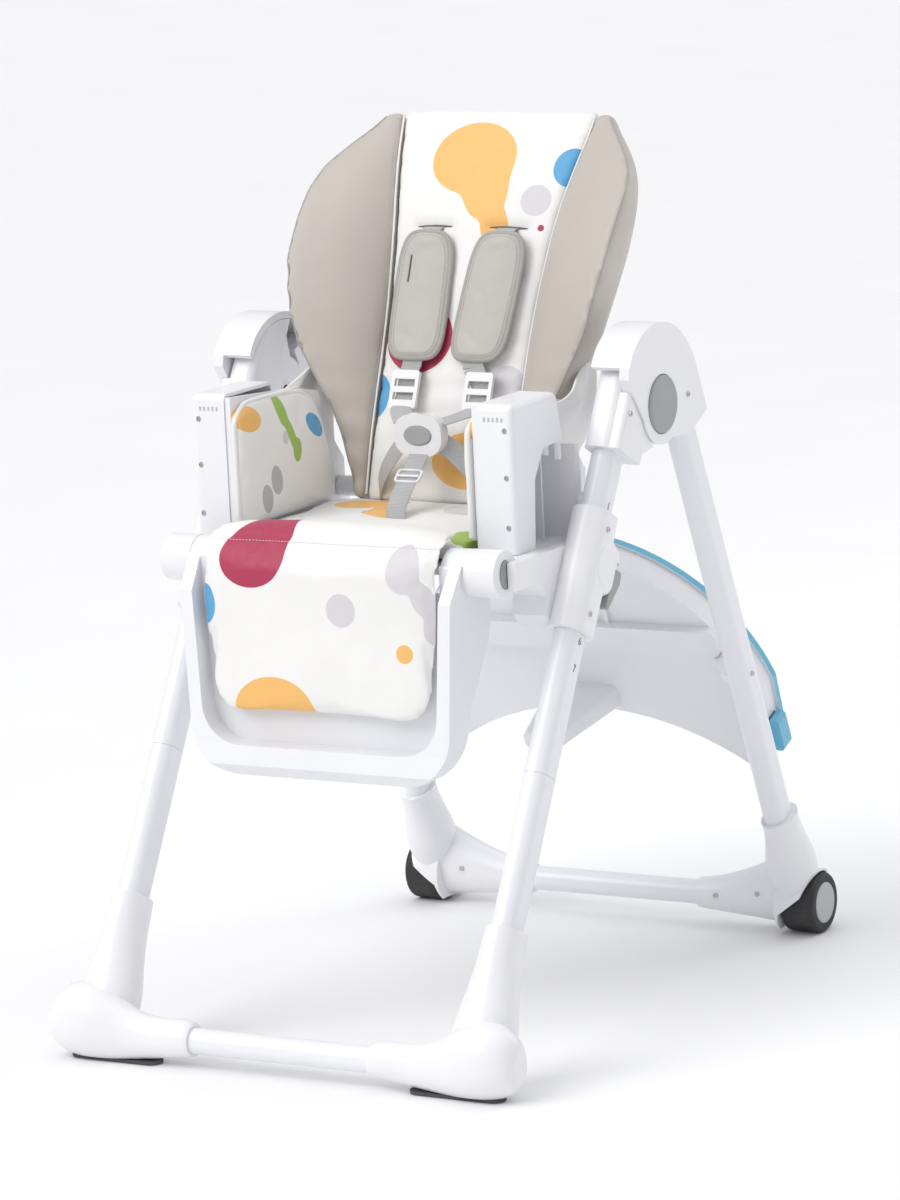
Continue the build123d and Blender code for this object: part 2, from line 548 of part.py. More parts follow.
with BuildPart() as slider:
    with BuildSketch(leg_plane(FRONT_LEG_X, FRONT_OFFSET, FRONT_LEAN, SLEEVE_BASE)):
        SlotOverall(61, 46, rotation=90)
    extrude(amount=SLEEVE_TOP - SLEEVE_BASE)
    # rounded lever housing on the back of the sleeve
    for x, housing_r in ((226, 27), (231, 33), (261, 33), (266, 30), (269, 24)):
        with BuildSketch(side(x)):
            with Locations(leg_point(FRONT_OFFSET + 14, FRONT_LEAN, -208)):
                Circle(housing_r)
    loft(ruled=True)
    # arm from the knuckle back to the sleeve, curved down in front of the leg
    with BuildSketch(side(186)) as arm:
        with BuildLine():
            Polyline((HINGE_Y, ARM_BASE - 0.5), (-86, ARM_BASE - 0.5), leg_point(FRONT_OFFSET - 8, FRONT_LEAN, -290),
                     leg_point(FRONT_OFFSET - 33, FRONT_LEAN, -284), (-160, 512), (-178, 531), (HINGE_Y, HINGE_Z - 19),
                     close=True)
        make_face()
    extrude(amount=44)
    # shelf under the seat and the armrest
    with BuildSketch(side(SEAT_HALF + 0.2)):
        with BuildLine():
            Polyline((-180, PAN_Z), (-180, ARM_BASE - 0.3), (-60, ARM_BASE - 0.3), (-52, PAN_Z), close=True)
        make_face()
    extrude(amount=60)
    # web between the armrest and the leg, with a notched top
    with BuildSketch(side(172)):
        with BuildLine():
            Polyline((-64, PAN_Z + 4), (-64, 668), (-57, 668), (-52, PAN_Z + 4), close=True)
        make_face()
    extrude(amount=49)
    with BuildSketch(Plane.XZ.offset(45)):
        with Locations((182, 664), (198, 660)):
            Rectangle(8, 22)
    extrude(amount=30, mode=Mode.SUBTRACT)
    # knuckle of the leg rest hinge, with a well for its button
    with BuildSketch(side(KNUCKLE_SPLIT)):
        with Locations((HINGE_Y, HINGE_Z)):
            Circle(KNUCKLE_R)
    extrude(amount=KNUCKLE_OUT - KNUCKLE_SPLIT)
    with BuildSketch(side(KNUCKLE_OUT - 9)):
        with Locations((HINGE_Y, HINGE_Z)):
            Ellipse(12.2, 16.2)
    extrude(amount=12, mode=Mode.SUBTRACT)
    with BuildSketch(side(KNUCKLE_SPLIT - 1)):
        with Locations((HINGE_Y, HINGE_Z)):
            Circle(8)
    extrude(amount=24, mode=Mode.SUBTRACT)
    # way for the leg, lock pin bore and lever slot
    with BuildSketch(leg_plane(FRONT_LEG_X, FRONT_OFFSET, FRONT_LEAN, SLEEVE_BASE - 60)):
        SlotOverall(TUBE_DEPTH + 2 * FIT, TUBE_WIDTH + 2 * FIT, rotation=90)
    extrude(amount=SLEEVE_TOP - SLEEVE_BASE + 180, mode=Mode.SUBTRACT)
    with BuildSketch(leg_back_plane(FRONT_LEG_X, FRONT_OFFSET + 18, FRONT_LEAN, LOCK_ALONG)):
        Circle(4.3)
    extrude(amount=24, mode=Mode.SUBTRACT)
    with BuildSketch(side(FRONT_LEG_X + 4)):
        with BuildLine():
            lever_a = leg_point(FRONT_OFFSET + 29, FRONT_LEAN, -196)
            lever_b = leg_point(FRONT_OFFSET + 29, FRONT_LEAN, -252)
            lever_c = leg_point(FRONT_OFFSET + 60, FRONT_LEAN, -252)
            lever_d = leg_point(FRONT_OFFSET + 60, FRONT_LEAN, -196)
            Polyline(lever_a, lever_b, lever_c, lever_d, close=True)
        make_face()
    extrude(amount=30, mode=Mode.SUBTRACT)
save_pair(slider.part, "slider")

with BuildPart() as height_lever:
    with BuildSketch(side(FRONT_LEG_X + 5)) as lever_outline:
        with BuildLine():
            Polyline(leg_point(FRONT_OFFSET + 31, FRONT_LEAN, -203), leg_point(FRONT_OFFSET + 31, FRONT_LEAN, -251),
                     leg_point(FRONT_OFFSET + 36, FRONT_LEAN, -251), leg_point(FRONT_OFFSET + 51, FRONT_LEAN, -216),
                     leg_point(FRONT_OFFSET + 49, FRONT_LEAN, -203), close=True)
        make_face()
        fillet(lever_outline.vertices(), 1.8)
    extrude(amount=16)
save_pair(height_lever.part, "height_lever")

with BuildPart() as lock_pin:
    with BuildSketch(leg_back_plane(FRONT_LEG_X, FRONT_OFFSET + 16, FRONT_LEAN, LOCK_ALONG)):
        Circle(4)
    extrude(amount=18)
save_pair(lock_pin.part, "lock_pin")

with BuildPart() as leg_rest_button:
    with BuildSketch(side(KNUCKLE_OUT - 4)):
        with Locations((HINGE_Y, HINGE_Z)):
            Ellipse(11.6, 15.6)
    extrude(amount=6)
    fillet(leg_rest_button.faces().sort_by(Axis.X)[-1].edges(), 1.5)
save_pair(leg_rest_button.part, "leg_rest_button")

with BuildPart() as leg_rest_pin:
    with BuildSketch(side(149)):
        with Locations((HINGE_Y, HINGE_Z)):
            Circle(7.95)
    extrude(amount=51)

# ---------------------------------------------------------------- leg rest

REST_HALF, REST_FOOT_HALF, REST_BASE = 177.5, 166, 313
REST_FACE, REST_PANEL = -257.5, 5
BARREL_IN, BARREL_OUT = 150, 178


def rest_outline(inset, base):
    """Front view of the leg rest, drawn in by an inset at the sides."""
    with BuildSketch(Plane.XY) as outline:
        with BuildLine():
            Polyline((REST_HALF - inset, 562), (REST_FOOT_HALF - inset, base), (inset - REST_FOOT_HALF, base),
                     (inset - REST_HALF, 562), close=True)
        make_face()
        fillet(outline.vertices().sort_by(Axis.Y)[:2], 62 - inset)
    return outline.sketch


with BuildPart() as leg_rest_shell:
    with BuildSketch(Plane.XZ.offset(180)):
        add(rest_outline(0, REST_BASE))
    extrude(amount=120)
    with BuildSketch(side(-200)) as rest_side:
        with BuildLine():
            Polyline((-256, 560), (-282, 522), (-286, 350), (-290, 326), (-280, REST_BASE - 1), (-254, REST_BASE - 1),
                     (-238, 392), (-196, 466), (-190, 496), (-204, 560), close=True)
        make_face()
    extrude(amount=400, mode=Mode.INTERSECT)
    # dished front, leaving the rim and the foot lip
    with BuildSketch(Plane.XZ.offset(-REST_FACE)):
        add(rest_outline(15, 348))
    extrude(amount=60, mode=Mode.SUBTRACT)
    # hollow back, leaving the panel and the side walls
    with BuildSketch(Plane.XZ.offset(150)):
        add(rest_outline(5, REST_BASE + 5))
    extrude(amount=-REST_FACE - REST_PANEL - 150, mode=Mode.SUBTRACT)
    # open top between the barrels
    with BuildSketch(Plane.XZ.offset(150)):
        with Locations((0, 560)):
            Rectangle(2 * BARREL_IN - 1, 62)
    extrude(amount=200, mode=Mode.SUBTRACT)
    for barrel_x in (BARREL_IN, -BARREL_OUT):
        with BuildSketch(side(barrel_x)):
            with Locations((HINGE_Y, HINGE_Z)):
                Circle(KNUCKLE_R - 0.4)
        extrude(amount=BARREL_OUT - BARREL_IN)
    with BuildSketch(side(-200)):
        with Locations((HINGE_Y, HINGE_Z)):
            Circle(8)
    extrude(amount=400, mode=Mode.SUBTRACT)
save(leg_rest_shell.part, "leg_rest_shell")

with BuildPart() as calf_pad:
    with BuildSketch(Plane.XZ.offset(-REST_FACE + 0.3)) as calf_outline:
        with BuildLine():
            Polyline((150, 535), (140, 376), (-140, 376), (-150, 535), close=True)
        make_face()
        fillet(calf_outline.vertices().sort_by(Axis.Y)[:2], 34)
    extrude(amount=15)
    fillet(calf_pad.faces().sort_by(Axis.Y)[0].edges(), 5)
save(calf_pad.part, "calf_pad")

# ---------------------------------------------------------------- seat cushion

with BuildPart() as seat_pad:
    with BuildSketch(Plane.XZ.offset(-SEAT_FRONT - 47)):
        with Locations((0, 632)):
            RectangleRounded(2 * (SEAT_HALF - WALL_T) - 1, 157, 14)
        with Locations((0, 576 + 75)):
            RectangleRounded(2 * (SEAT_HALF - WALL_T) - 17, 150, 16, mode=Mode.SUBTRACT)
    extrude(amount=-190)
    with BuildSketch(side(-SEAT_HALF)):
        with BuildLine():
            Polyline((-190, 760), (-190, 716), (-30, 706), (2, 660), (6, 540), (20, 540), (20, 760), close=True)
        make_face()
    extrude(amount=2 * SEAT_HALF, mode=Mode.SUBTRACT)
    with BuildSketch(side(-146)) as pad_nose:
        with BuildLine():
            Polyline((-140, 553.3), (-234, 553.3), (-234, 574), (-220, 581), (-140, 576), close=True)
        make_face()
    extrude(amount=292)
    with BuildSketch(Plane.XY.offset(530)):
        with Locations((0, -95)):
            SlotOverall(46, 8)
    extrude(amount=100, mode=Mode.SUBTRACT)
save(seat_pad.part, "seat_pad")

# ---------------------------------------------------------------- backrest


def back_outline(inset, foot, top):
    """Front view of the backrest in its own plane."""
    with BuildSketch(Plane.XY) as outline:
        with BuildLine():
            Polyline((118 - inset, foot), (144 - inset, 330), (136 - inset, top), (inset - 136, top),
                     (inset - 144, 330), (inset - 118, foot), close=True)
        make_face()
        fillet(outline.vertices().sort_by(Axis.Y)[-2:], 40)
    return outline.sketch


HARNESS_X, HARNESS_SLOT = 49, 307
with BuildPart() as back_shell:
    with BuildSketch(back_plane(-BACK_PAD - SHELL_T)):
        add(back_outline(0, -8, 444))
        with Locations((HARNESS_X, HARNESS_SLOT), (-HARNESS_X, HARNESS_SLOT), (HARNESS_X, 250), (-HARNESS_X, 250)):
            SlotOverall(48, 8, mode=Mode.SUBTRACT)
    extrude(amount=SHELL_T)
    # stiffening frame on the back
    with BuildSketch(back_plane(-BACK_PAD - SHELL_T - 12)):
        add(back_outline(14, 30, 420))
        add(back_outline(19, 35, 415), mode=Mode.SUBTRACT)
        with Locations((80, 225), (-80, 225)):
            Rectangle(4, 388)
    extrude(amount=12)
    # hinge eyes
    for eye_x in (-156, 112):
        with BuildSketch(side(eye_x)):
            with Locations(back_axis):
                Circle(12)
        extrude(amount=44)
    with BuildSketch(side(-160)):
        with Locations(back_axis):
            Circle(6)
    extrude(amount=320, mode=Mode.SUBTRACT)
save(back_shell.part, "back_shell")

with BuildPart() as back_pin:
    with BuildSketch(side(140)):
        with Locations(back_axis):
            Circle(5.94)
    extrude(amount=SEAT_HALF - 140)
save_group(both_sides(leg_rest_pin.part) + both_sides(back_pin.part), "seat_hinge_pins")

with BuildPart() as back_pad:
    with BuildSketch(back_plane(-BACK_PAD + 0.3)):
        with BuildLine():
            Polyline((96, 20), (96, 190), (106, 320), (126, 452), (-126, 452), (-106, 320), (-96, 190), (-96, 20),
                     close=True)
        make_face()
        with Locations((HARNESS_X, HARNESS_SLOT), (-HARNESS_X, HARNESS_SLOT), (HARNESS_X, 250), (-HARNESS_X, 250)):
            SlotOverall(48, 8, mode=Mode.SUBTRACT)
    extrude(amount=BACK_PAD - 0.3)
    # the head end thins towards its top
    with BuildSketch(side(-140)):
        with BuildLine():
            Polyline(back_point(0, 345), back_point(24, 453), back_point(-30, 453), close=True)
        make_face()
    extrude(amount=280, mode=Mode.SUBTRACT)
save(back_pad.part, "back_pad")

# side bolsters: (height along the back, seam X, seam depth, lip X, lip depth, rear X)
WING_SECTIONS = ((24, 97, 4, 122, -2, 120), (90, 97, 0, 147, -20, 138), (145, 97, 0, 194, -46, 166),
                 (222, 99, 0, 211, -62, 178), (270, 103, 0, 217, -58, 190), (320, 108, 0, 219, -44, 197),
                 (376, 117, 7, 213, -16, 196), (431, 127, 19, 165, 14, 158))
with BuildPart() as back_wing:
    for along, seam, seam_depth, lip, lip_depth, rear in WING_SECTIONS:
        with BuildSketch(back_section(along)):
            with BuildLine():
                Polyline((seam + 2, seam_depth), (lip, lip_depth), (lip + 1, lip_depth + 8), (rear, BACK_PAD - 8),
                         (seam + 14, BACK_PAD - 1), (seam + 3, BACK_PAD - 8), close=True)
            make_face()
    loft(ruled=True)
save_pair(back_wing.part, "back_wing")

with BuildPart() as recline_lever:
    with BuildSketch(back_plane(-BACK_PAD - SHELL_T - 27)):
        with Locations((0, 392)):
            SlotOverall(96, 26)
    extrude(amount=9)
    with BuildSketch(back_plane(-BACK_PAD - SHELL_T - 18)):
        with Locations((0, 404)):
            Rectangle(60, 8)
    extrude(amount=17.7)
save(recline_lever.part, "recline_lever")

# ---------------------------------------------------------------- harness

PAD_FOOT, PAD_TOP, PAD_DEPTH = 145, 296, 14
with BuildPart() as shoulder_pad:
    with BuildSketch(back_plane(2)):
        with Locations((HARNESS_X, (PAD_FOOT + PAD_TOP) / 2)):
            RectangleRounded(66, PAD_TOP - PAD_FOOT, 20)
    extrude(amount=PAD_DEPTH)
    with BuildSketch(back_plane(7.8)):
        with Locations((HARNESS_X, (PAD_FOOT + PAD_TOP) / 2)):
            Rectangle(26.4, PAD_TOP - PAD_FOOT + 2)
    extrude(amount=2.4, mode=Mode.SUBTRACT)
save_group(both_sides(shoulder_pad.part), "shoulder_pads")

STRAP_W, STRAP_T = 25, 2
BUCKLE_Y, BUCKLE_Z = -29, 665
with BuildPart() as shoulder_strap:
    # web out of the back, through the pad and down to the side of the buckle
    with BuildSketch(side(HARNESS_X - STRAP_W / 2)):
        with BuildLine():
            Polyline(back_point(-BACK_PAD - SHELL_T - 4, HARNESS_SLOT), back_point(9, HARNESS_SLOT),
                     back_point(9, 80), (BUCKLE_Y + 4, BUCKLE_Z - 22))
        trace(line_width=STRAP_T)
    extrude(amount=STRAP_W)
save_group(both_sides(shoulder_strap.part), "shoulder_straps")

with BuildPart() as adjuster:
    with BuildSketch(back_plane(10.2)):
        with Locations((HARNESS_X, 108)):
            RectangleRounded(36, 46, 4)
            with GridLocations(1, 16, 1, 2):
                Rectangle(27, 9, mode=Mode.SUBTRACT)
    extrude(amount=5)
save_group(both_sides(adjuster.part), "strap_adjusters")

with BuildPart() as buckle:
    with BuildSketch(Plane.XZ.offset(-BUCKLE_Y + 8)):
        with Locations((0, BUCKLE_Z)):
            RectangleRounded(62, 48, 20)
            Ellipse(18.5, 11.5, mode=Mode.SUBTRACT)
    extrude(amount=-16)
    with BuildSketch(Plane.XZ.offset(-BUCKLE_Y)):
        with Locations((0, BUCKLE_Z)):
            RectangleRounded(62, 48, 20)
    extrude(amount=-8)
save(buckle.part, "buckle")

with BuildPart() as buckle_button:
    with BuildSketch(Plane.XZ.offset(-BUCKLE_Y + 4)):
        with Locations((0, BUCKLE_Z)):
            Ellipse(18, 11)
    extrude(amount=6)
    fillet(buckle_button.faces().sort_by(Axis.Y)[0].edges(), 1.5)
save(buckle_button.part, "buckle_button")

with BuildPart() as crotch_strap:
    with BuildSketch(side(-STRAP_W / 2)):
        with BuildLine():
            Polyline((-95, PAN_Z - 3), (-95, 600), (BUCKLE_Y, BUCKLE_Z - 25.5))
        trace(line_width=STRAP_T)
    extrude(amount=STRAP_W)
    with BuildSketch(Plane.XY.offset(PAN_Z - 4)):
        with Locations((0, -95)):
            Rectangle(52, 12)
    extrude(amount=3.9)
save(crotch_strap.part, "crotch_strap")

# ---------------------------------------------------------------- tray


def tray_plane(depth):
    """Plane across the tray's thickness, behind the rear leg axis: X across, Y up the leg."""
    up, back = leg_vectors(REAR_LEAN)
    origin = Vector(0, PIVOT_Y, PIVOT_Z) + back * (REAR_OFFSET + depth)
    return Plane(origin=origin, x_dir=(-1, 0, 0), z_dir=back)


def tray_outline(inset):
    """Plan of the tray: a wide convex edge and a waist cut on the child's side."""
    with BuildSketch(Plane.XY) as outline:
        with BuildLine():
            top = ThreePointArc((-TRAY_HALF + inset, TRAY_BASE + 110), (0, TRAY_TOP - inset),
                                (TRAY_HALF - inset, TRAY_BASE + 110))
            Polyline(top @ 1, (TRAY_HALF - inset - 4, TRAY_BASE + inset + 12), (196 + inset, TRAY_BASE + inset))
            ThreePointArc((196 + inset, TRAY_BASE + inset), (0, TRAY_ARCH + inset), (-196 - inset, TRAY_BASE + inset))
            Polyline((-196 - inset, TRAY_BASE + inset), (-TRAY_HALF + inset + 4, TRAY_BASE + inset + 12), top @ 0)
        make_face()
    return outline.sketch


with BuildPart() as tray_base:
    with BuildSketch(tray_plane(TRAY_FACE + 14)):
        add(tray_outline(6))
    extrude(amount=34)
    with BuildSketch(tray_plane(TRAY_FACE + 18)):
        add(tray_outline(10))
    extrude(amount=40, mode=Mode.SUBTRACT)
    # latch bar housing and the two guide ribs
    with BuildSketch(tray_plane(TRAY_FACE)):
        with Locations((0, -395)):
            RectangleRounded(416, 34, 8)
    extrude(amount=14.5)
    for rib_x in (-60, 60):
        with BuildSketch(tray_plane(TRAY_FACE + 8)):
            with Locations((rib_x, -335)):
                Rectangle(5, 90)
        extrude(amount=6.5)
    # pockets for the side latches
    with BuildSketch(tray_plane(TRAY_FACE + 21.7)):
        with Locations((TRAY_HALF - 3, TRAY_BASE + 44), (3 - TRAY_HALF, TRAY_BASE + 44)):
            Rectangle(18, 44.6)
    extrude(amount=22.6, mode=Mode.SUBTRACT)
    # post between the child's legs
    with BuildSketch(tray_plane(TRAY_FACE + 14.2)):
        with Locations((0, -488)):
            RectangleRounded(92, 34, 9)
    with BuildSketch(tray_plane(TRAY_FACE - 105)):
        with Locations((0, -476)):
            RectangleRounded(46, 24, 8)
    loft()
save(tray_base.part, "tray_base")

with BuildPart() as tray_top:
    # lift-out dish with the coloured rim
    with BuildSketch(tray_plane(TRAY_FACE + 48.3)):
        add(tray_outline(2))
    extrude(amount=9)
    with BuildSketch(tray_plane(TRAY_FACE + 30)):
        add(tray_outline(14))
    extrude(amount=20)
    with BuildSketch(tray_plane(TRAY_FACE + 33)):
        add(tray_outline(17))
    extrude(amount=40, mode=Mode.SUBTRACT)
save(tray_top.part, "tray_top")

with BuildPart() as tray_latch:
    with BuildSketch(tray_plane(TRAY_FACE + 22)):
        with Locations((-TRAY_HALF + 1, TRAY_BASE + 44)):
            RectangleRounded(14, 44, 5)
    extrude(amount=22)
save_pair(tray_latch.part, "tray_latch")

with BuildPart() as tray_hook:
    # rest fixed on the inside of each rear leg; the tray's bar drops onto it
    with BuildSketch(leg_plane(0, REAR_OFFSET, REAR_LEAN, -424)):
        with BuildLine():
            Polyline((REAR_LEG_X - 13.8, 10), (REAR_LEG_X - 13.8, -8), (REAR_LEG_X - 26, -4),
                     (REAR_LEG_X - 50, TRAY_FACE + 1), (REAR_LEG_X - 50, TRAY_FACE + 12), (REAR_LEG_X - 42, TRAY_FACE + 12),
                     close=True)
        make_face()
    extrude(amount=11.5)
save_group(both_sides(tray_hook.part), "tray_hooks")

# ---------------------------------------------------------------- screws


def screw(origin, normal):
    """Cross head screw whose head seats on a face at the origin."""
    head = Plane(origin=origin, z_dir=normal)
    with BuildPart() as fastener:
        with BuildSketch(head):
            Circle(3)
        extrude(amount=1.6)
        with BuildSketch(head.offset(1.6)):
            Rectangle(4, 0.9)
            Rectangle(0.9, 4)
        extrude(amount=-0.9, mode=Mode.SUBTRACT)
    return fastener.part


def save_screws(places, name):
    """Screws given as (origin, normal) on the right, with their mirror images, in one node."""
    save_group([copy for origin, normal in places for copy in both_sides(screw(origin, normal))], name)


FORWARD, OUTWARD = (0, -1, 0), (1, 0, 0)
sleeve_face = FRONT_LEG_X + 23.1
save_screws([((200, -182.6, 701), FORWARD), ((200, -182.6, 648), FORWARD), ((200, -182.6, 592), FORWARD),
             ((sleeve_face, *leg_point(FRONT_OFFSET - 5, FRONT_LEAN, -170)), OUTWARD),
             ((sleeve_face, *leg_point(FRONT_OFFSET - 5, FRONT_LEAN, -270)), OUTWARD)], "seat_screws")
save_screws([((HUB_OUT - 2.9, PIVOT_Y - 72, PIVOT_Z), OUTWARD)], "hub_screws")
save_screws([((HUB_OUT + 0.1, PIVOT_Y + 62, PIVOT_Z + 2), OUTWARD),
             ((REAR_LEG_X + 13.6, *leg_point(REAR_OFFSET, REAR_LEAN, -412)), OUTWARD),
             ((146, REAR_FOOT_Y - 20.6, 39), FORWARD), ((206, REAR_FOOT_Y - 26.3, 47), FORWARD)], "rear_frame_screws")
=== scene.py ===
import bpy
import bmesh
from math import radians, sin, cos, pi, hypot
from mathutils import Vector, Matrix, noise
from mathutils.bvhtree import BVHTree


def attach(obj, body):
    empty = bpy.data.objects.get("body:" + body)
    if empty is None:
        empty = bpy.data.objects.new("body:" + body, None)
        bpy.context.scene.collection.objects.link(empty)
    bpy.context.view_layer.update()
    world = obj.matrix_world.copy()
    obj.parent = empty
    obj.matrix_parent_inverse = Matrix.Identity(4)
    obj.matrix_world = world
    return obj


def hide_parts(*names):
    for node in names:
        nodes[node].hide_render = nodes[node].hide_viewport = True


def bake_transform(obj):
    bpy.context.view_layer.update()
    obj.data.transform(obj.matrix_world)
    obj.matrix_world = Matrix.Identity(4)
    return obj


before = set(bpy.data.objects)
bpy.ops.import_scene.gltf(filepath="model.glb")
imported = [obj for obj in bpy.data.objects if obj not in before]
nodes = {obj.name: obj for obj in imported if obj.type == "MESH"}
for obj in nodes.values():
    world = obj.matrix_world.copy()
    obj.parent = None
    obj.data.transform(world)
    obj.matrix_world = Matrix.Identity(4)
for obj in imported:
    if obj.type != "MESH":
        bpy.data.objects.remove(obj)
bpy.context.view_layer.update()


scene = bpy.context.scene

# ------------------------------------------------------------------ camera, light and floor

TARGET = Vector((0, 0.013, 0.5))
AZIMUTH, ELEVATION, ROLL = radians(30.47), radians(10.29), radians(2.83)
DISTANCE = 6.349

camera_data = bpy.data.cameras.new("camera")
camera_data.sensor_width = 36
camera_data.lens = 164.45
camera_data.clip_end = 60
camera_data.shift_x = 0.0031
camera_data.shift_y = -0.0254
camera = bpy.data.objects.new("camera", camera_data)
scene.collection.objects.link(camera)
back_ray = Vector((sin(AZIMUTH) * cos(ELEVATION), -cos(AZIMUTH) * cos(ELEVATION), sin(ELEVATION)))
camera.location = TARGET + back_ray * DISTANCE
camera.rotation_euler = (back_ray.to_track_quat("Z", "Y").to_matrix() @ Matrix.Rotation(-ROLL, 3,
        "Z")).to_euler()
scene.camera = camera


LIGHT_AIM = Vector((0, 0, 0.55))


def area_light(name, place, size, power, colour):
    """A soft box that faces the middle of the chair."""
    data = bpy.data.lights.new(name, "AREA")
    data.shape = "RECTANGLE"
    data.size, data.size_y = size
    data.energy = power
    data.color = colour
    light = bpy.data.objects.new(name, data)
    light.location = place
    light.rotation_euler = (Vector(place) - LIGHT_AIM).to_track_quat("Z", "Y").to_euler()
    scene.collection.objects.link(light)


def sun_light(name, place, power, width, colour=(1, 1, 1)):
    """Light of even strength over the whole floor, from the direction of a place."""
    data = bpy.data.lights.new(name, "SUN")
    data.energy = power
    data.angle = radians(width)
    data.color = colour
    light = bpy.data.objects.new(name, data)
    light.rotation_euler = Vector(place).to_track_quat("Z", "Y").to_euler()
    scene.collection.objects.link(light)


sun_light("key_sun", (-0.9, -1.5, 1.75), 1.15, 40, (1.0, 0.99, 0.975))
sun_light("top_sun", (0.2, 0.3, 3.0), 0.75, 70)
area_light("key", (-1.7, -2.6, 2.6), (2.0, 2.0), 14, (1.0, 0.985, 0.97))
area_light("rim", (1.4, 2.6, 1.7), (1.6, 1.6), 12, (0.97, 0.98, 1.0))

# a white backdrop: a softer light for the object than the camera sees
world = bpy.data.worlds.new("studio")
world.use_nodes = True
sky_tree = world.node_tree
sky_light = sky_tree.nodes["Background"]
sky_light.inputs["Color"].default_value = (0.955, 0.962, 0.985, 1)
sky_light.inputs["Strength"].default_value = 0.60
sky_seen = sky_tree.nodes.new("ShaderNodeBackground")
sky_seen.inputs["Color"].default_value = (1, 1, 1, 1)
sky_seen.inputs["Strength"].default_value = 1.0
sky_rays = sky_tree.nodes.new("ShaderNodeLightPath")
sky_mix = sky_tree.nodes.new("ShaderNodeMixShader")
sky_tree.links.new(sky_rays.outputs["Is Camera Ray"], sky_mix.inputs[0])
sky_tree.links.new(sky_light.outputs[0], sky_mix.inputs[1])
sky_tree.links.new(sky_seen.outputs[0], sky_mix.inputs[2])
sky_tree.links.new(sky_mix.outputs[0], sky_tree.nodes["World Output"].inputs["Surface"])
scene.world = world
scene.view_settings.view_transform = "Standard"

# ------------------------------------------------------------------ shader building blocks


class Shader:
    """A material with one Principled shader and short calls for the nodes that feed it."""

    def __init__(self, name, colour, rough, metal=0.0):
        self.material = bpy.data.materials.new(name)
        self.material.use_nodes = True
        self.tree = self.material.node_tree
        self.shader = self.tree.nodes["Principled BSDF"]
        self.shader.inputs["Base Color"].default_value = (*colour, 1)
        self.shader.inputs["Roughness"].default_value = rough
        self.shader.inputs["Metallic"].default_value = metal
        self.place = self.node("ShaderNodeTexCoord").outputs["Object"]

    def node(self, kind, **settings):
        made = self.tree.nodes.new(kind)
        for key, value in settings.items():
            setattr(made, key, value)
        return made

    def link(self, out, into):
        self.tree.links.new(out, into)

    def put(self, socket, value):
        """Feeds a socket from an output or gives it a plain value."""
        if isinstance(value, bpy.types.NodeSocket):
            self.link(value, socket)
        else:
            socket.default_value = value

    def set(self, socket, value):
        self.put(self.shader.inputs[socket], value)

    def math(self, operation, *values):
        made = self.node("ShaderNodeMath", operation=operation)
        for socket, value in zip(made.inputs, values):
            self.put(socket, value)
        return made.outputs[0]

    def vector(self, operation, *values):
        made = self.node("ShaderNodeVectorMath", operation=operation)
        for socket, value in zip(made.inputs, values):
            self.put(socket, value)
        return made

    def noise(self, scale, detail=3.0, rough=0.55, place=None):
        made = self.node("ShaderNodeTexNoise")
        self.link(place or self.place, made.inputs["Vector"])
        made.inputs["Scale"].default_value = scale
        made.inputs["Detail"].default_value = detail
        made.inputs["Roughness"].default_value = rough
        return made.outputs["Fac"]

    def cells(self, scale):
        made = self.node("ShaderNodeTexVoronoi", feature="F1")
        self.link(self.place, made.inputs["Vector"])
        made.inputs["Scale"].default_value = scale
        return made.outputs["Distance"]

    def spread(self, value, low, high, to_low, to_high):
        made = self.node("ShaderNodeMapRange")
        settings = {"Value": value, "From Min": low, "From Max": high, "To Min": to_low, "To Max": to_high}
        for key, setting in settings.items():
            self.put(made.inputs[key], setting)
        return made.outputs["Result"]

    def mix(self, factor, a, b):
        made = self.node("ShaderNodeMix", data_type="RGBA")
        self.put(made.inputs[0], factor)
        for socket, value in ((made.inputs[6], a), (made.inputs[7], b)):
            self.put(socket, value if isinstance(value, bpy.types.NodeSocket) else (*value, 1))
        return made.outputs[2]

    def bump(self, height, distance, strength=1.0, normal=None):
        made = self.node("ShaderNodeBump")
        made.inputs["Distance"].default_value = distance
        made.inputs["Strength"].default_value = strength
        self.link(height, made.inputs["Height"])
        if normal:
            self.link(normal, made.inputs["Normal"])
        return made.outputs["Normal"]


def moulded(name, colour, rough, grain=0.00005, shade=0.025, coat=0.0):
    """Moulded plastic or paint: faint colour clouds, uneven gloss, fine grain over slow waves."""
    m = Shader(name, colour, rough)
    clouds = m.noise(7, 4)
    darker = tuple(c * (1 - shade) for c in colour)
    m.set("Base Color", m.mix(m.spread(clouds, 0.35, 0.65, 0, 1), darker, colour))
    scuffs = m.noise(45, 6, 0.7)
    m.set("Roughness", m.spread(scuffs, 0.3, 0.75, rough - 0.02, rough + 0.05))
    fine = m.bump(m.noise(1500, 2), grain, 0.6)
    m.set("Normal", m.bump(m.noise(14, 2), 0.0002, 0.2, fine))
    m.set("Coat Weight", coat)
    m.set("Coat Roughness", 0.18)
    return m.material


def metal(name, colour, rough):
    """Zinc plated steel with fine drawn lines."""
    m = Shader(name, colour, rough, 1.0)
    stretched = m.vector("MULTIPLY", m.place, (900, 900, 120)).outputs[0]
    lines = m.noise(1, 2, place=stretched)
    m.set("Roughness", m.spread(lines, 0.3, 0.7, rough - 0.06, rough + 0.1))
    m.set("Base Color", m.mix(m.noise(60, 4), colour, tuple(c * 0.8 for c in colour)))
    m.set("Normal", m.bump(lines, 0.00002, 0.5))
    return m.material


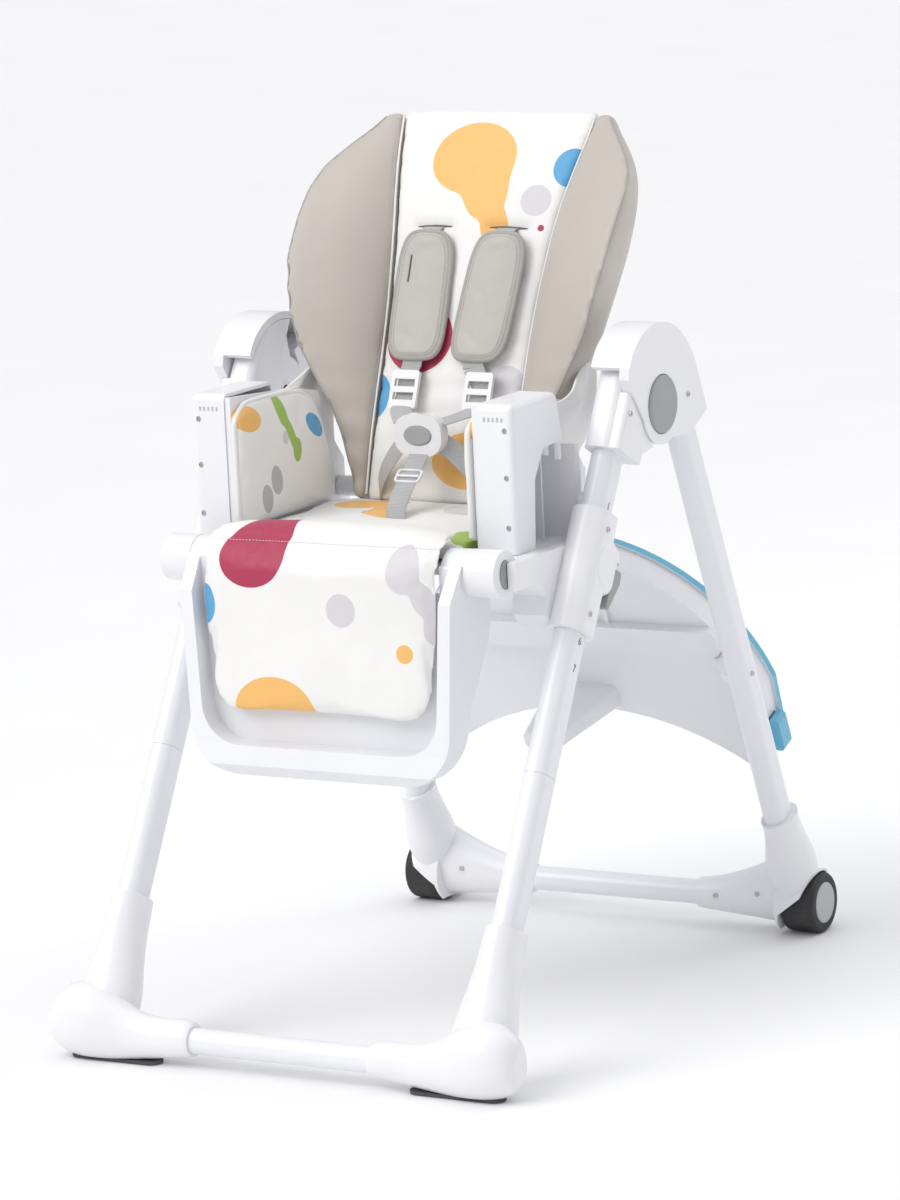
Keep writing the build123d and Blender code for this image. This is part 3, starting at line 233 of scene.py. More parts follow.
def rubber(name, colour, rough):
    """Moulded tyre rubber: dusty, pitted and dull."""
    m = Shader(name, colour, rough)
    dust = m.noise(38, 5, 0.7)
    m.set("Base Color", m.mix(m.spread(dust, 0.45, 0.75, 0, 0.6), colour, (0.075, 0.073, 0.07)))
    m.set("Roughness", m.spread(dust, 0.3, 0.7, rough - 0.08, rough + 0.1))
    m.set("Normal", m.bump(m.cells(520), 0.0001, 0.6))
    return m.material


WHITE, ORANGE, CRIMSON = (0.87, 0.865, 0.85), (0.88, 0.50, 0.15), (0.42, 0.028, 0.085)
BLUE, GREEN = (0.10, 0.37, 0.66), (0.34, 0.52, 0.10)
PALE_GREY, MID_GREY = (0.66, 0.645, 0.665), (0.48, 0.475, 0.485)


def coated_cloth(name, colour, across=None, up=None, spots=(), grain=1.0):
    """Coated cloth with a fine pebbled weave and soft creases. Spots are printed shapes in the plane
    of the across and up directions: each is a colour and its rounded lobes, as (u, v, radius u,
    radius v, turn)."""
    m = Shader(name, colour, 0.46)
    clouds = m.noise(9, 4)
    tint = m.mix(m.spread(clouds, 0.3, 0.7, 0, 1), tuple(c * 0.955 for c in colour), colour)
    if spots:
        u = m.vector("DOT_PRODUCT", m.place, across).outputs["Value"]
        v = m.vector("DOT_PRODUCT", m.place, up).outputs["Value"]
        flat = m.node("ShaderNodeCombineXYZ")
        m.link(u, flat.inputs[0])
        m.link(v, flat.inputs[1])
        for ink, lobes in spots:
            reach = None
            for lobe_u, lobe_v, radius_u, radius_v, turn in lobes:
                laid = m.node("ShaderNodeMapping", vector_type="TEXTURE")
                m.link(flat.outputs[0], laid.inputs["Vector"])
                laid.inputs["Location"].default_value = (lobe_u, lobe_v, 0)
                laid.inputs["Rotation"].default_value = (0, 0, radians(turn))
                laid.inputs["Scale"].default_value = (radius_u, radius_v, 1)
                far = m.vector("LENGTH", laid.outputs[0]).outputs["Value"]
                reach = far if reach is None else m.math("SMOOTH_MIN", reach, far, 0.75)
            inside = m.spread(reach, 1.008, 0.992, 0, 1)
            tint = m.mix(inside, tint, ink)
    m.set("Base Color", tint)
    m.set("Roughness", m.spread(m.noise(70, 4), 0.3, 0.7, 0.40, 0.54))
    weave = m.bump(m.cells(1150), 0.00022 * grain, 0.55)
    pebble = m.bump(m.noise(420, 3), 0.00025 * grain, 0.5, weave)
    m.set("Normal", m.bump(m.noise(16, 3, 0.5), 0.0022, 0.5, pebble))
    m.set("Sheen Weight", 0.12)
    m.set("Sheen Roughness", 0.4)
    return m.material


def webbing(name, colour):
    """Woven strap: fine ribs across the web, with painted shade in the rib grooves and a painted highlight
    on the crests.
    """
    m = Shader(name, colour, 0.75)
    slant = m.vector("DOT_PRODUCT", m.place, (0, 0.35, 0.94)).outputs["Value"]
    ribs = m.math("SINE", m.math("MULTIPLY", slant, 2 * pi / 0.0017))
    across = m.vector("DOT_PRODUCT", m.place, (1, 0, 0)).outputs["Value"]
    threads = m.math("SINE", m.math("MULTIPLY", across, 2 * pi / 0.0011))
    cloth = m.math("ADD", ribs, m.math("MULTIPLY", threads, 0.4))
    # the colour follows the rib height: painted shade in the rib grooves and a painted highlight on the rib
    # crests
    m.set("Base Color", m.mix(m.spread(cloth, -1.2, 1.2, 0, 1),
                              tuple(c * 0.72 for c in colour), tuple(min(1, c * 1.12) for c in colour)))
    m.set("Normal", m.bump(cloth, 0.00025, 0.6))
    m.set("Sheen Weight", 0.2)
    return m.material


plastic = moulded("white_plastic", (0.865, 0.865, 0.895), 0.30, grain=0.00003, coat=0.25)
paint = moulded("white_powder_coat", (0.845, 0.848, 0.89), 0.30, grain=0.000008, shade=0.015, coat=0.3)
shell_white = moulded("white_shell", (0.85, 0.855, 0.885), 0.36, grain=0.00009, coat=0.1)
grey = moulded("grey_plastic", (0.36, 0.37, 0.37), 0.42, grain=0.00012, shade=0.12)
light_grey = moulded("light_grey_plastic", (0.47, 0.475, 0.48), 0.4, grain=0.0001, shade=0.1)
clear_white = moulded("buckle_plastic", (0.80, 0.80, 0.82), 0.28, shade=0.04, coat=0.2)
sky = moulded("light_blue_plastic", (0.13, 0.47, 0.66), 0.32, shade=0.08, coat=0.2)
steel = metal("zinc_steel", (0.62, 0.62, 0.64), 0.3)
tyre = rubber("tyre_rubber", (0.022, 0.022, 0.024), 0.62)
sole = rubber("sole_rubber", (0.07, 0.07, 0.075), 0.7)
strap_cloth = webbing("harness_webbing", (0.50, 0.50, 0.51))
taupe = coated_cloth("taupe_cloth", (0.525, 0.485, 0.435))
pad_taupe = coated_cloth("shoulder_pad_cloth", (0.50, 0.475, 0.445))
binding = coated_cloth("binding_tape", (0.40, 0.385, 0.365), grain=2.0)
plain_white = coated_cloth("white_cloth", WHITE)
# near-black cloth: painted shade inside the harness slots and the shoulder pad opening, and the real dark
# print of the height numbers
shade_and_print_dark = coated_cloth("painted_shade_and_number_print", (0.13, 0.12, 0.115), grain=0.4)
thread_white = coated_cloth("white_thread", (0.80, 0.79, 0.77), grain=2.0)

# backrest: its lean and the foot of its front face
LEAN = radians(22)
FACE_Y, FACE_Z = -0.007, 0.603
# harness: half the distance between the webs, and the heights of the slots along the back
HARNESS_X = 0.049
SLOT_HEIGHTS = (0.307, 0.250)
UP = Vector((0, sin(LEAN), cos(LEAN)))
BEHIND = Vector((0, cos(LEAN), -sin(LEAN)))
FOOT = Vector((0, FACE_Y, FACE_Z))
foot_height = FOOT.dot(UP)


def on_back(x, depth, along):
    """A point at a depth behind the backrest's front face and a height along it."""
    return FOOT + Vector((x, 0, 0)) + BEHIND * depth + UP * along


def back_spots(*spots):
    """Printed shapes given by their height along the backrest."""
    return [(ink, [(u, v + foot_height, a, b, t) for u, v, a, b, t in lobes]) for ink, lobes in spots]


back_cloth = coated_cloth("printed_back_cloth", WHITE, (1, 0, 0), UP, back_spots(
    (ORANGE, [(-0.014, 0.392, 0.056, 0.045, 0), (0.012, 0.350, 0.028, 0.036, 10),
              (0.031, 0.308, 0.017, 0.022, 0)]),
    (BLUE, [(0.114, 0.383, 0.022, 0.024, 0)]),
    (PALE_GREY, [(0.078, 0.341, 0.019, 0.019, 0)]),
    (CRIMSON, [(0.090, 0.308, 0.004, 0.004, 0)]),
    (CRIMSON, [(-0.047, 0.173, 0.045, 0.042, 0)]),
    (BLUE, [(-0.097, 0.104, 0.019, 0.026, 0)]),
    (PALE_GREY, [(0.075, 0.125, 0.020, 0.019, 0)]),
    (ORANGE, [(0.045, 0.030, 0.052, 0.034, 0)]),
))
flap_cloth = coated_cloth("printed_flap_cloth", WHITE, (1, 0, 0), (0, 0, 1), [
    (CRIMSON, [(-0.086, 0.562, 0.042, 0.034, 0), (-0.075, 0.586, 0.030, 0.018, 0)]),
    (BLUE, [(-0.151, 0.506, 0.018, 0.023, 0)]),
    (PALE_GREY, [(0.033, 0.508, 0.019, 0.019, 0)]),
    (PALE_GREY, [(0.112, 0.556, 0.021, 0.026, 0), (0.137, 0.524, 0.013, 0.020, 25),
                 (0.154, 0.492, 0.017, 0.022, 0)]),
    (ORANGE, [(0.113, 0.463, 0.0105, 0.0105, 0)]),
    (ORANGE, [(-0.060, 0.388, 0.052, 0.040, 0)]),
    (GREEN, [(0.122, 0.380, 0.014, 0.010, 25)]),
])
seat_cloth = coated_cloth("printed_seat_cloth", WHITE, (1, 0, 0), (0, 1, 0), [
    (ORANGE, [(-0.070, -0.030, 0.050, 0.022, 0), (-0.028, -0.075, 0.026, 0.030, 30)]),
    (ORANGE, [(0.030, -0.176, 0.017, 0.012, 0)]),
    (PALE_GREY, [(0.075, -0.040, 0.040, 0.030, 0)]),
    (GREEN, [(0.140, -0.165, 0.022, 0.030, 0)]),
])
wall_cloth = coated_cloth("printed_wall_cloth", WHITE, (0, 1, 0), (0, 0, 1), [
    (ORANGE, [(-0.168, 0.700, 0.024, 0.015, -12)]),
    (GREEN, [(-0.100, 0.700, 0.010, 0.020, 10), (-0.088, 0.672, 0.007, 0.020, 20),
             (-0.076, 0.650, 0.009, 0.014, 0)]),
    (CRIMSON, [(-0.078, 0.720, 0.020, 0.006, 0)]),
    (MID_GREY, [(-0.122, 0.622, 0.011, 0.018, 20), (-0.140, 0.603, 0.010, 0.018, 20)]),
    (PALE_GREY, [(-0.100, 0.668, 0.006, 0.008, 0)]),
    (BLUE, [(-0.030, 0.672, 0.022, 0.012, -30)]),
])

# ------------------------------------------------------------------ finishes of the CAD nodes

PAIR = (("right", 1), ("left", -1))
# fold axis, and the front and rear leg axes behind it and square to each leg
PIVOT_Y, PIVOT_Z = 0.046, 0.698
FRONT_LEAN, FRONT_OFFSET = radians(29.8), -0.046
REAR_LEAN, REAR_OFFSET = radians(22.6), 0.065
# the star stands for right and left
FINISHES = (
    (plastic, "front_foot_* rear_foot_* hub_front_* hub_rear_* slider_* tray_hooks"),
    (paint, "front_leg_* front_lower_leg_* rear_leg_* front_cross_tube rear_cross_tube"),
    (shell_white, "armrest_* seat_shell leg_rest_shell back_shell tray_base"),
    (grey, "fold_button_* leg_rest_button_* height_lever_* buckle_button recline_lever"),
    (light_grey, "wheel_hub_*"),
    (clear_white, "strap_adjusters buckle"),
    (steel, "lock_pin_* hub_pins hub_screws rear_frame_screws seat_screws"),
    (steel, "seat_hinge_pins wheel_axles fold_springs"),
    (tyre, "wheel_tyre_*"),
    (sole, "front_foot_soles"),
    (sky, "tray_latch_*"),
)
for material, names in FINISHES:
    for name in names.split():
        for s, _ in PAIR:
            data = nodes[name.replace("*", s)].data
            data.materials.clear()
            data.materials.append(material)


def rim_material():
    """The tray dish: white inside, blue on the outward rim that stands proud of the base."""
    m = Shader("tray_dish", (0.86, 0.865, 0.885), 0.3)
    depth = m.vector("DOT_PRODUCT", m.place, (0, cos(REAR_LEAN), sin(REAR_LEAN))).outputs["Value"]
    pivot = PIVOT_Y * cos(REAR_LEAN) + PIVOT_Z * sin(REAR_LEAN) + REAR_OFFSET
    edge = m.spread(depth, pivot + 0.0752, pivot + 0.0756, 0, 1)
    m.set("Base Color", m.mix(edge, (0.86, 0.865, 0.885), (0.13, 0.47, 0.66)))
    m.set("Roughness", m.spread(m.noise(45, 5), 0.3, 0.7, 0.27, 0.38))
    m.set("Normal", m.bump(m.noise(1200, 2), 0.00006, 0.5))
    return m.material


nodes["tray_top"].data.materials.clear()
nodes["tray_top"].data.materials.append(rim_material())

# ------------------------------------------------------------------ mesh helpers


def mesh_object(name, points, faces, material):
    """A piece from points and faces, welded, facing outwards and smooth shaded."""
    data = bpy.data.meshes.new(name)
    data.from_pydata([tuple(p) for p in points], [], faces)
    made = bmesh.new()
    made.from_mesh(data)
    bmesh.ops.remove_doubles(made, verts=made.verts, dist=1e-6)
    bmesh.ops.recalc_face_normals(made, faces=made.faces)
    made.to_mesh(data)
    made.free()
    data.materials.append(material)
    for face in data.polygons:
        face.use_smooth = True
    piece = bpy.data.objects.new(name, data)
    scene.collection.objects.link(piece)
    return piece


def loft(name, rings, material):
    """A closed skin through rings of points, capped at both ends."""
    count = len(rings[0])
    points = [p for ring in rings for p in ring]
    faces = []
    for i in range(len(rings) - 1):
        for j in range(count):
            k = (j + 1) % count
            faces.append((i * count + j, i * count + k, (i + 1) * count + k, (i + 1) * count + j))
    faces.append(tuple(range(count))[::-1])
    faces.append(tuple(range((len(rings) - 1) * count, len(rings) * count)))
    return mesh_object(name, points, faces, material)


def modified(piece, *modifiers):
    """Adds modifiers, given as kind and settings, and applies them all."""
    for kind, settings in modifiers:
        modifier = piece.modifiers.new(kind.lower(), kind)
        for key, value in settings.items():
            setattr(modifier, key, value)
    graph = bpy.context.evaluated_depsgraph_get()
    graph.update()
    data = bpy.data.meshes.new_from_object(piece.evaluated_get(graph))
    piece.modifiers.clear()
    old = piece.data
    piece.data = data
    bpy.data.meshes.remove(old)
    for face in piece.data.polygons:
        face.use_smooth = True
    return piece


def between(table, at):
    """Row of a table keyed by its first column, with the rest eased between rows."""
    if at <= table[0][0]:
        return table[0][1:]
    for a, b in zip(table, table[1:]):
        if at <= b[0]:
            t = (at - a[0]) / (b[0] - a[0])
            return [p + (q - p) * t for p, q in zip(a[1:], b[1:])]
    return table[-1][1:]


def smooth_between(table, at):
    """Like between, averaged over a short stretch so that the line has no corners."""
    reach = (table[-1][0] - table[0][0]) / 28
    rows = [between(table, at + reach * k) for k in (-2, -1, 0, 1, 2)]
    return [sum(column) / len(rows) for column in zip(*rows)]


def puff(piece, pressure=4.0, voxel=0.005, cap=0.009, held=None, stiffness=18.0):
    """Fills a pad by cloth simulation with inner pressure, holding the points that held() picks."""
    remeshed = piece.modifiers.new("remesh", "REMESH")
    remeshed.mode = "VOXEL"
    remeshed.voxel_size = voxel
    modified(piece)
    start = [v.co.copy() for v in piece.data.vertices]
    cloth = piece.modifiers.new("cloth", "CLOTH")
    settings = cloth.settings
    settings.quality = 5
    settings.mass = 0.25
    settings.tension_stiffness = stiffness
    settings.compression_stiffness = stiffness
    settings.shear_stiffness = stiffness / 2
    settings.bending_stiffness = 0.8
    settings.use_pressure = True
    settings.uniform_pressure_force = pressure
    settings.effector_weights.gravity = 0
    cloth.collision_settings.use_collision = False
    if held:
        group = piece.vertex_groups.new(name="held")
        picked = [v.index for v in piece.data.vertices if held(v.co)]
        group.add(picked, 1.0, "REPLACE")
        settings.vertex_group_mass = "held"
    cloth.point_cache.frame_start = 1
    cloth.point_cache.frame_end = 20
    for step in range(1, 21):
        scene.frame_set(step)
    graph = bpy.context.evaluated_depsgraph_get()
    shape = piece.evaluated_get(graph).to_mesh()
    moved = [v.co.copy() for v in shape.vertices]
    piece.evaluated_get(graph).to_mesh_clear()
    piece.modifiers.clear()
    scene.frame_set(1)
    for vertex, before, after in zip(piece.data.vertices, start, moved):
        step = after - before
        if step.length > cap:
            step *= cap / step.length
        vertex.co = before + step
    return modified(piece, ("SMOOTH", {"factor": 0.5, "iterations": 3}), ("SUBSURF", {"levels": 1}))


def shape_skin(piece, change):
    """Moves each point by what change() returns for it."""
    for vertex in piece.data.vertices:
        vertex.co = vertex.co + change(vertex.co)


def surface(piece):
    graph = bpy.context.evaluated_depsgraph_get()
    graph.update()
    return BVHTree.FromObject(piece, graph)


def laid_on(tree, points, direction, lift=0.0):
    """Drops points along a direction onto a skin."""
    direction = Vector(direction).normalized()
    landed = []
    for p in points:
        hit, normal, _, _ = tree.ray_cast(p - direction * 0.12, direction, 0.4)
        if hit is None:
            hit, normal, _, _ = tree.find_nearest(p)
        landed.append(hit - direction * lift)
    return landed


def piping(name, points, radius, material, closed=False):
    """A round sewn cord along a line, as a smooth tube."""
    data = bpy.data.curves.new(name, "CURVE")
    data.dimensions = "3D"
    data.bevel_depth = radius
    data.bevel_resolution = 3
    data.resolution_u = 3
    spline = data.splines.new("NURBS")
    spline.points.add(len(points) - 1)
    for point, place in zip(spline.points, points):
        point.co = (*place, 1)
    spline.order_u = 4
    spline.use_cyclic_u = closed
    spline.use_endpoint_u = not closed
    data.use_fill_caps = True
    data.materials.append(material)
    piece = bpy.data.objects.new(name, data)
    scene.collection.objects.link(piece)
    graph = bpy.context.evaluated_depsgraph_get()
    graph.update()
    skin = bpy.data.meshes.new_from_object(piece.evaluated_get(graph))
    skin.name = name
    for face in skin.polygons:
        face.use_smooth = True
    bpy.data.objects.remove(piece)
    made = bpy.data.objects.new(name, skin)
    scene.collection.objects.link(made)
    return made


def stitches(name, points, material, pitch=0.0042, length=0.0028, radius=0.0005):
    """A row of short thread stitches that follows a line of points."""
    runs = [(b - a).length for a, b in zip(points, points[1:])]
    total, at, rings, faces = sum(runs), pitch / 2, [], []

    def spot(distance):
        for (a, b), run in zip(zip(points, points[1:]), runs):
            if distance <= run:
                return a + (b - a) * (distance / max(run, 1e-9)), (b - a).normalized()
            distance -= run
        return points[-1].copy(), (points[-1] - points[-2]).normalized()

    while at + length < total:
        start, along = spot(at)
        end, _ = spot(at + length)
        wide = along.cross(Vector((0.3, -0.8, 0.5))).normalized()
        high = wide.cross(along).normalized()
        first = len(rings)
        for place, swell in ((start, 0.35), (start.lerp(end, 0.5), 1.0), (end, 0.35)):
            for k in range(6):
                turn = k * pi / 3
                rings.append(place + (wide * cos(turn) + high * sin(turn)) * radius * swell)
        for r in range(2):
            for k in range(6):
                n = (k + 1) % 6
                faces.append((first + r * 6 + k, first + r * 6 + n, first + (r + 1) * 6 + n,
                              first + (r + 1) * 6 + k))
        faces.append(tuple(first + k for k in range(5, -1, -1)))
        faces.append(tuple(first + 12 + k for k in range(6)))
        at += pitch
    return mesh_object(name, rings, faces, material)


def ribbon(name, route, width, thick, material, across=(1, 0, 0)):
    """A flat web of even width along a smooth route."""
    samples = 8
    across = Vector(across).normalized()
    line = []
    count = len(route)
    for i in range(count - 1):
        p0, p1, p2, p3 = (Vector(route[min(max(i + k, 0), count - 1)]) for k in (-1, 0, 1, 2))
        for s in range(samples):
            t = s / samples
            line.append(0.5 * (2 * p1 + (p2 - p0) * t + (2 * p0 - 5 * p1 + 4 * p2 - p3) * t * t
                               + (3 * p1 - p0 - 3 * p2 + p3) * t ** 3))
    line.append(Vector(route[-1]))
    rings = []
    for i, place in enumerate(line):
        along = (line[min(i + 1, len(line) - 1)] - line[max(i - 1, 0)]).normalized()
        side = (across - along * across.dot(along)).normalized()
        face = side.cross(along).normalized()
        ring = []
        for u, v in ((-0.5, -0.28), (-0.47, -0.5), (0, -0.56), (0.47, -0.5), (0.5, -0.28),
                     (0.5, 0.28), (0.47, 0.5), (0, 0.56), (-0.47, 0.5), (-0.5, 0.28)):
            ring.append(place + side * u * width + face * v * thick)
        rings.append(ring)
    return loft(name, rings, material)

# ------------------------------------------------------------------ backrest: printed panel

# height along the back, half width between the seams, seam depth
PANEL = (
    (-0.020, 0.094, 0.012),
    (0.018, 0.095, 0.008),
    (0.19, 0.096, 0.005),
    (0.27, 0.102, 0.005),
    (0.32, 0.107, 0.006),
    (0.376, 0.117, 0.012),
    (0.431, 0.126, 0.025),
    (0.455, 0.129, 0.031),
)
PANEL_BACK = 0.046


def panel_ring(along, shrink=1.0):
    half, seam_depth = smooth_between(PANEL, along)
    middle = (seam_depth + PANEL_BACK) / 2
    ring = []
    for k in range(15):
        t = -1 + 2 * k / 14
        ring.append((half * t, seam_depth - 0.0075 * (1 - t * t)))
    ring += [(half + 0.001, seam_depth + 0.006), (half, PANEL_BACK - 0.005), (half - 0.006, PANEL_BACK),
             (0, PANEL_BACK),
             (0.006 - half, PANEL_BACK), (-half, PANEL_BACK - 0.005), (-half - 0.001, seam_depth + 0.006)]
    return [on_back(x * (0.985 + 0.015 * shrink), middle + (depth - middle) * shrink, along)
            for x, depth in ring]


rows = [panel_ring(-0.020, 0.35)] + [panel_ring(-0.016 + (0.449 + 0.016) * k / 32) for k in range(33)]
rows += [panel_ring(0.4535, 0.8), panel_ring(0.456, 0.35)]
panel = loft("back_panel_cushion", rows, back_cloth)


def near_panel_seam(co):
    along = (co - FOOT).dot(UP)
    half = smooth_between(PANEL, along)[0]
    return abs(abs(co.x) - half) < 0.006 or (co - FOOT).dot(BEHIND) > PANEL_BACK - 0.008


puff(panel, 4.0, 0.005, 0.006, near_panel_seam)


def panel_creases(co):
    """Soft cross creases and the dip along the seams and round the harness slots."""
    along, depth = (co - FOOT).dot(UP), (co - FOOT).dot(BEHIND)
    half = smooth_between(PANEL, along)[0]
    front = max(0.0, min(1.0, (0.03 - depth) / 0.02))
    edge = max(0.0, 1 - (half - abs(co.x)) / 0.012)
    dip = 0.0035 * edge * edge
    for slot_along in SLOT_HEIGHTS:
        away = hypot(max(0.0, abs(abs(co.x) - HARNESS_X) - 0.022), along - slot_along)
        dip += 0.0035 * max(0.0, 1 - away / 0.016) ** 2
    fold = sin((along - 0.04) * 2 * pi / 0.031 + 2.2 * noise.noise(co * 9))
    fold *= max(0.0, 1 - abs(along - 0.115) / 0.10)
    dip += 0.0011 * fold * (0.4 + 0.6 * abs(co.x) / half)
    dip += 0.0016 * noise.noise(co * 14)
    return BEHIND * dip * front


shape_skin(panel, panel_creases)
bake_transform(panel)
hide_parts("back_pad")
panel_skin = surface(panel)

# ------------------------------------------------------------------ backrest: side bolsters

# height along the back, seam X, seam depth, lip X, lip depth, rear X
WING = (
    (-0.018, 0.096, 0.014, 0.106, 0.014, 0.104),
    (0.024, 0.097, 0.006, 0.120, 0.002, 0.117),
    (0.09, 0.097, 0.004, 0.144, -0.017, 0.136),
    (0.145, 0.097, 0.003, 0.189, -0.042, 0.164),
    (0.222, 0.099, 0.003, 0.208, -0.058, 0.178),
    (0.270, 0.103, 0.003, 0.214, -0.054, 0.187),
    (0.320, 0.108, 0.004, 0.216, -0.041, 0.194),
    (0.376, 0.118, 0.010, 0.209, -0.014, 0.190),
    (0.405, 0.123, 0.017, 0.190, 0.003, 0.178),
    (0.428, 0.1265, 0.0215, 0.163, 0.014, 0.156),
    (0.443, 0.129, 0.026, 0.143, 0.023, 0.140),
    (0.453, 0.130, 0.029, 0.134, 0.030, 0.133),
)


def wing_ring(along, sign, shrink=1.0):
    seam, seam_depth, lip, lip_depth, rear = smooth_between(WING, along)
    width = lip - seam
    ring = []
    for k in range(11):
        t = k / 10
        swell = 0.10 * width * sin(pi * t ** 0.8)
        ring.append((seam + width * t - swell * 0.35, seam_depth + (lip_depth - seam_depth) * t - swell))
    rear_depth = 0.041
    for k in range(1, 7):
        t = k / 7
        swell = 0.006 * sin(pi * t)
        ring.append((lip + (rear - lip) * t + swell, lip_depth + (rear_depth - lip_depth) * t))
    ring += [(rear - 0.003, rear_depth + 0.003), (rear - (rear - seam) * 0.4, rear_depth + 0.005),
             (seam + 0.010, rear_depth + 0.006),
             (seam + 0.001, rear_depth - 0.003), (seam, (seam_depth + rear_depth) / 2)]
    cx = sum(p[0] for p in ring) / len(ring)
    cd = sum(p[1] for p in ring) / len(ring)
    return [on_back(sign * (cx + (x - cx) * shrink), cd + (d - cd) * shrink, along) for x, d in ring]


for s, sign in PAIR:
    rows = [wing_ring(-0.018, sign, 0.3)]
    rows += [wing_ring(-0.014 + (0.447 + 0.014) * k / 36, sign) for k in range(37)]
    rows += [wing_ring(0.4515, sign, 0.6), wing_ring(0.4535, sign, 0.15)]
    bolster = loft(f"bolster_{s}", rows, taupe)

    def on_wing_edge(co):
        along = (co - FOOT).dot(UP)
        depth = (co - FOOT).dot(BEHIND)
        seam, seam_depth, lip, lip_depth, rear = smooth_between(WING, along)
        at_lip = hypot(abs(co.x) - lip, depth - lip_depth) < 0.007
        return at_lip or hypot(abs(co.x) - seam, depth - seam_depth) < 0.006 or depth > 0.036

    puff(bolster, 5.0, 0.006, 0.010, on_wing_edge, 14.0)

    def bolster_creases(co):
        along = (co - FOOT).dot(UP)
        low = max(0.0, 1 - along / 0.16)
        waves = sin(along * 2 * pi / 0.036 + 3 * noise.noise(co * 6))
        return BEHIND * (0.0022 * noise.noise(co * 8) + 0.0016 * low * waves)

    shape_skin(bolster, bolster_creases)
    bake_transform(bolster)
    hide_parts(f"back_wing_{s}")
    skin = surface(bolster)
    lips, seams = [], []
    for k in range(46):
        along = -0.012 + (0.449 + 0.012) * k / 45
        seam, seam_depth, lip, lip_depth, rear = smooth_between(WING, along)
        lips.append(skin.find_nearest(on_back(sign * (lip + 0.004), lip_depth - 0.003, along))[0])
        seams.append(on_back(sign * (smooth_between(PANEL, along)[0] + 0.001), seam_depth + 0.0015, along))
    edge = piping(f"bolster_{s}_lip_seam", lips, 0.0011, binding)
    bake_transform(edge)
    cord = piping(f"panel_{s}_piping", seams, 0.0013, plain_white)
    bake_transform(cord)
    beside = [skin.find_nearest(p + Vector((sign * 0.006, 0, 0)) - BEHIND * 0.004)[0] - BEHIND * 0.0002
              for p in seams[2:-3]]
    sewn = stitches(f"bolster_{s}_stitches", beside, taupe)
    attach(sewn, "backrest")

# ------------------------------------------------------------------ harness slots in the panel: painted shade in their openings

# a thin dark lens in each harness slot: painted shade inside the opening
slot_shades = []
for slot_along in SLOT_HEIGHTS:
    for slot_x in (-HARNESS_X, HARNESS_X):
        line = [on_back(slot_x + 0.024 * (k / 8 * 2 - 1), -0.03, slot_along) for k in range(9)]
        line = laid_on(panel_skin, line, BEHIND, -0.0004)
        rings = []
        for k, p in enumerate(line):
            open_by = 0.0032 * max(0.15, 1 - (k / 4 - 1) ** 2)
            turns = [j * pi / 5 for j in range(10)]
            rings.append([p + UP * open_by * cos(a) - BEHIND * 0.0012 * sin(a) for a in turns])
        slot_shades.append(loft("opening_shade", rings, shade_and_print_dark))
bpy.ops.object.select_all(action="DESELECT")
for opening_shade in slot_shades:
    opening_shade.select_set(True)
bpy.context.view_layer.objects.active = slot_shades[0]
bpy.ops.object.join()
slot_shades[0].name = "harness_slot_shade"
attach(slot_shades[0], "backrest")

# ------------------------------------------------------------------ seat cushion


def seat_ring(y, shrink=1.0):
    top = between(((-0.207, 0.572), (-0.19, 0.579), (-0.16, 0.5805), (-0.06, 0.578), (0.008, 0.581)), y)[0]
    base, half = 0.556, 0.1455
    ring = []
    for k in range(17):
        t = -1 + 2 * k / 16
        ring.append((half * t, top - 0.004 * abs(t) ** 6 - 0.003 * max(0.0, 1 - abs(t) * 2)))
    ring += [(half + 0.001, base + 0.010), (half - 0.003, base), (0, base), (0.003 - half, base),
             (-half - 0.001, base + 0.010)]
    middle = (top + base) / 2
    return [Vector((x, y, middle + (z - middle) * shrink)) for x, z in ring]


rows = [seat_ring(-0.207, 0.5)]
rows += [seat_ring(-0.204 + 0.211 * k / 24) for k in range(25)] + [seat_ring(0.009, 0.5)]
seat = loft("seat_cushion", rows, seat_cloth)


def under_seat(co):
    return co.z < 0.562 or abs(abs(co.x) - 0.1455) < 0.004


puff(seat, 3.5, 0.005, 0.006, under_seat)


def seat_creases(co):
    """Dip round the crotch strap, and slow waves across the cushion."""
    top = max(0.0, min(1.0, (co.z - 0.566) / 0.008))
    dx, dy = co.x, co.y + 0.095
    away = hypot(max(0.0, abs(dx) - 0.016), dy)
    dip = 0.0045 * max(0.0, 1 - away / 0.030) ** 1.5
    dip += 0.0016 * noise.noise(co * 13) + 0.0009 * sin(co.x * 60 + 2 * noise.noise(co * 7))
    return Vector((0, 0, -dip * top))


shape_skin(seat, seat_creases)
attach(seat, "seat")
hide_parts("seat_pad")

# ------------------------------------------------------------------ side wall pads

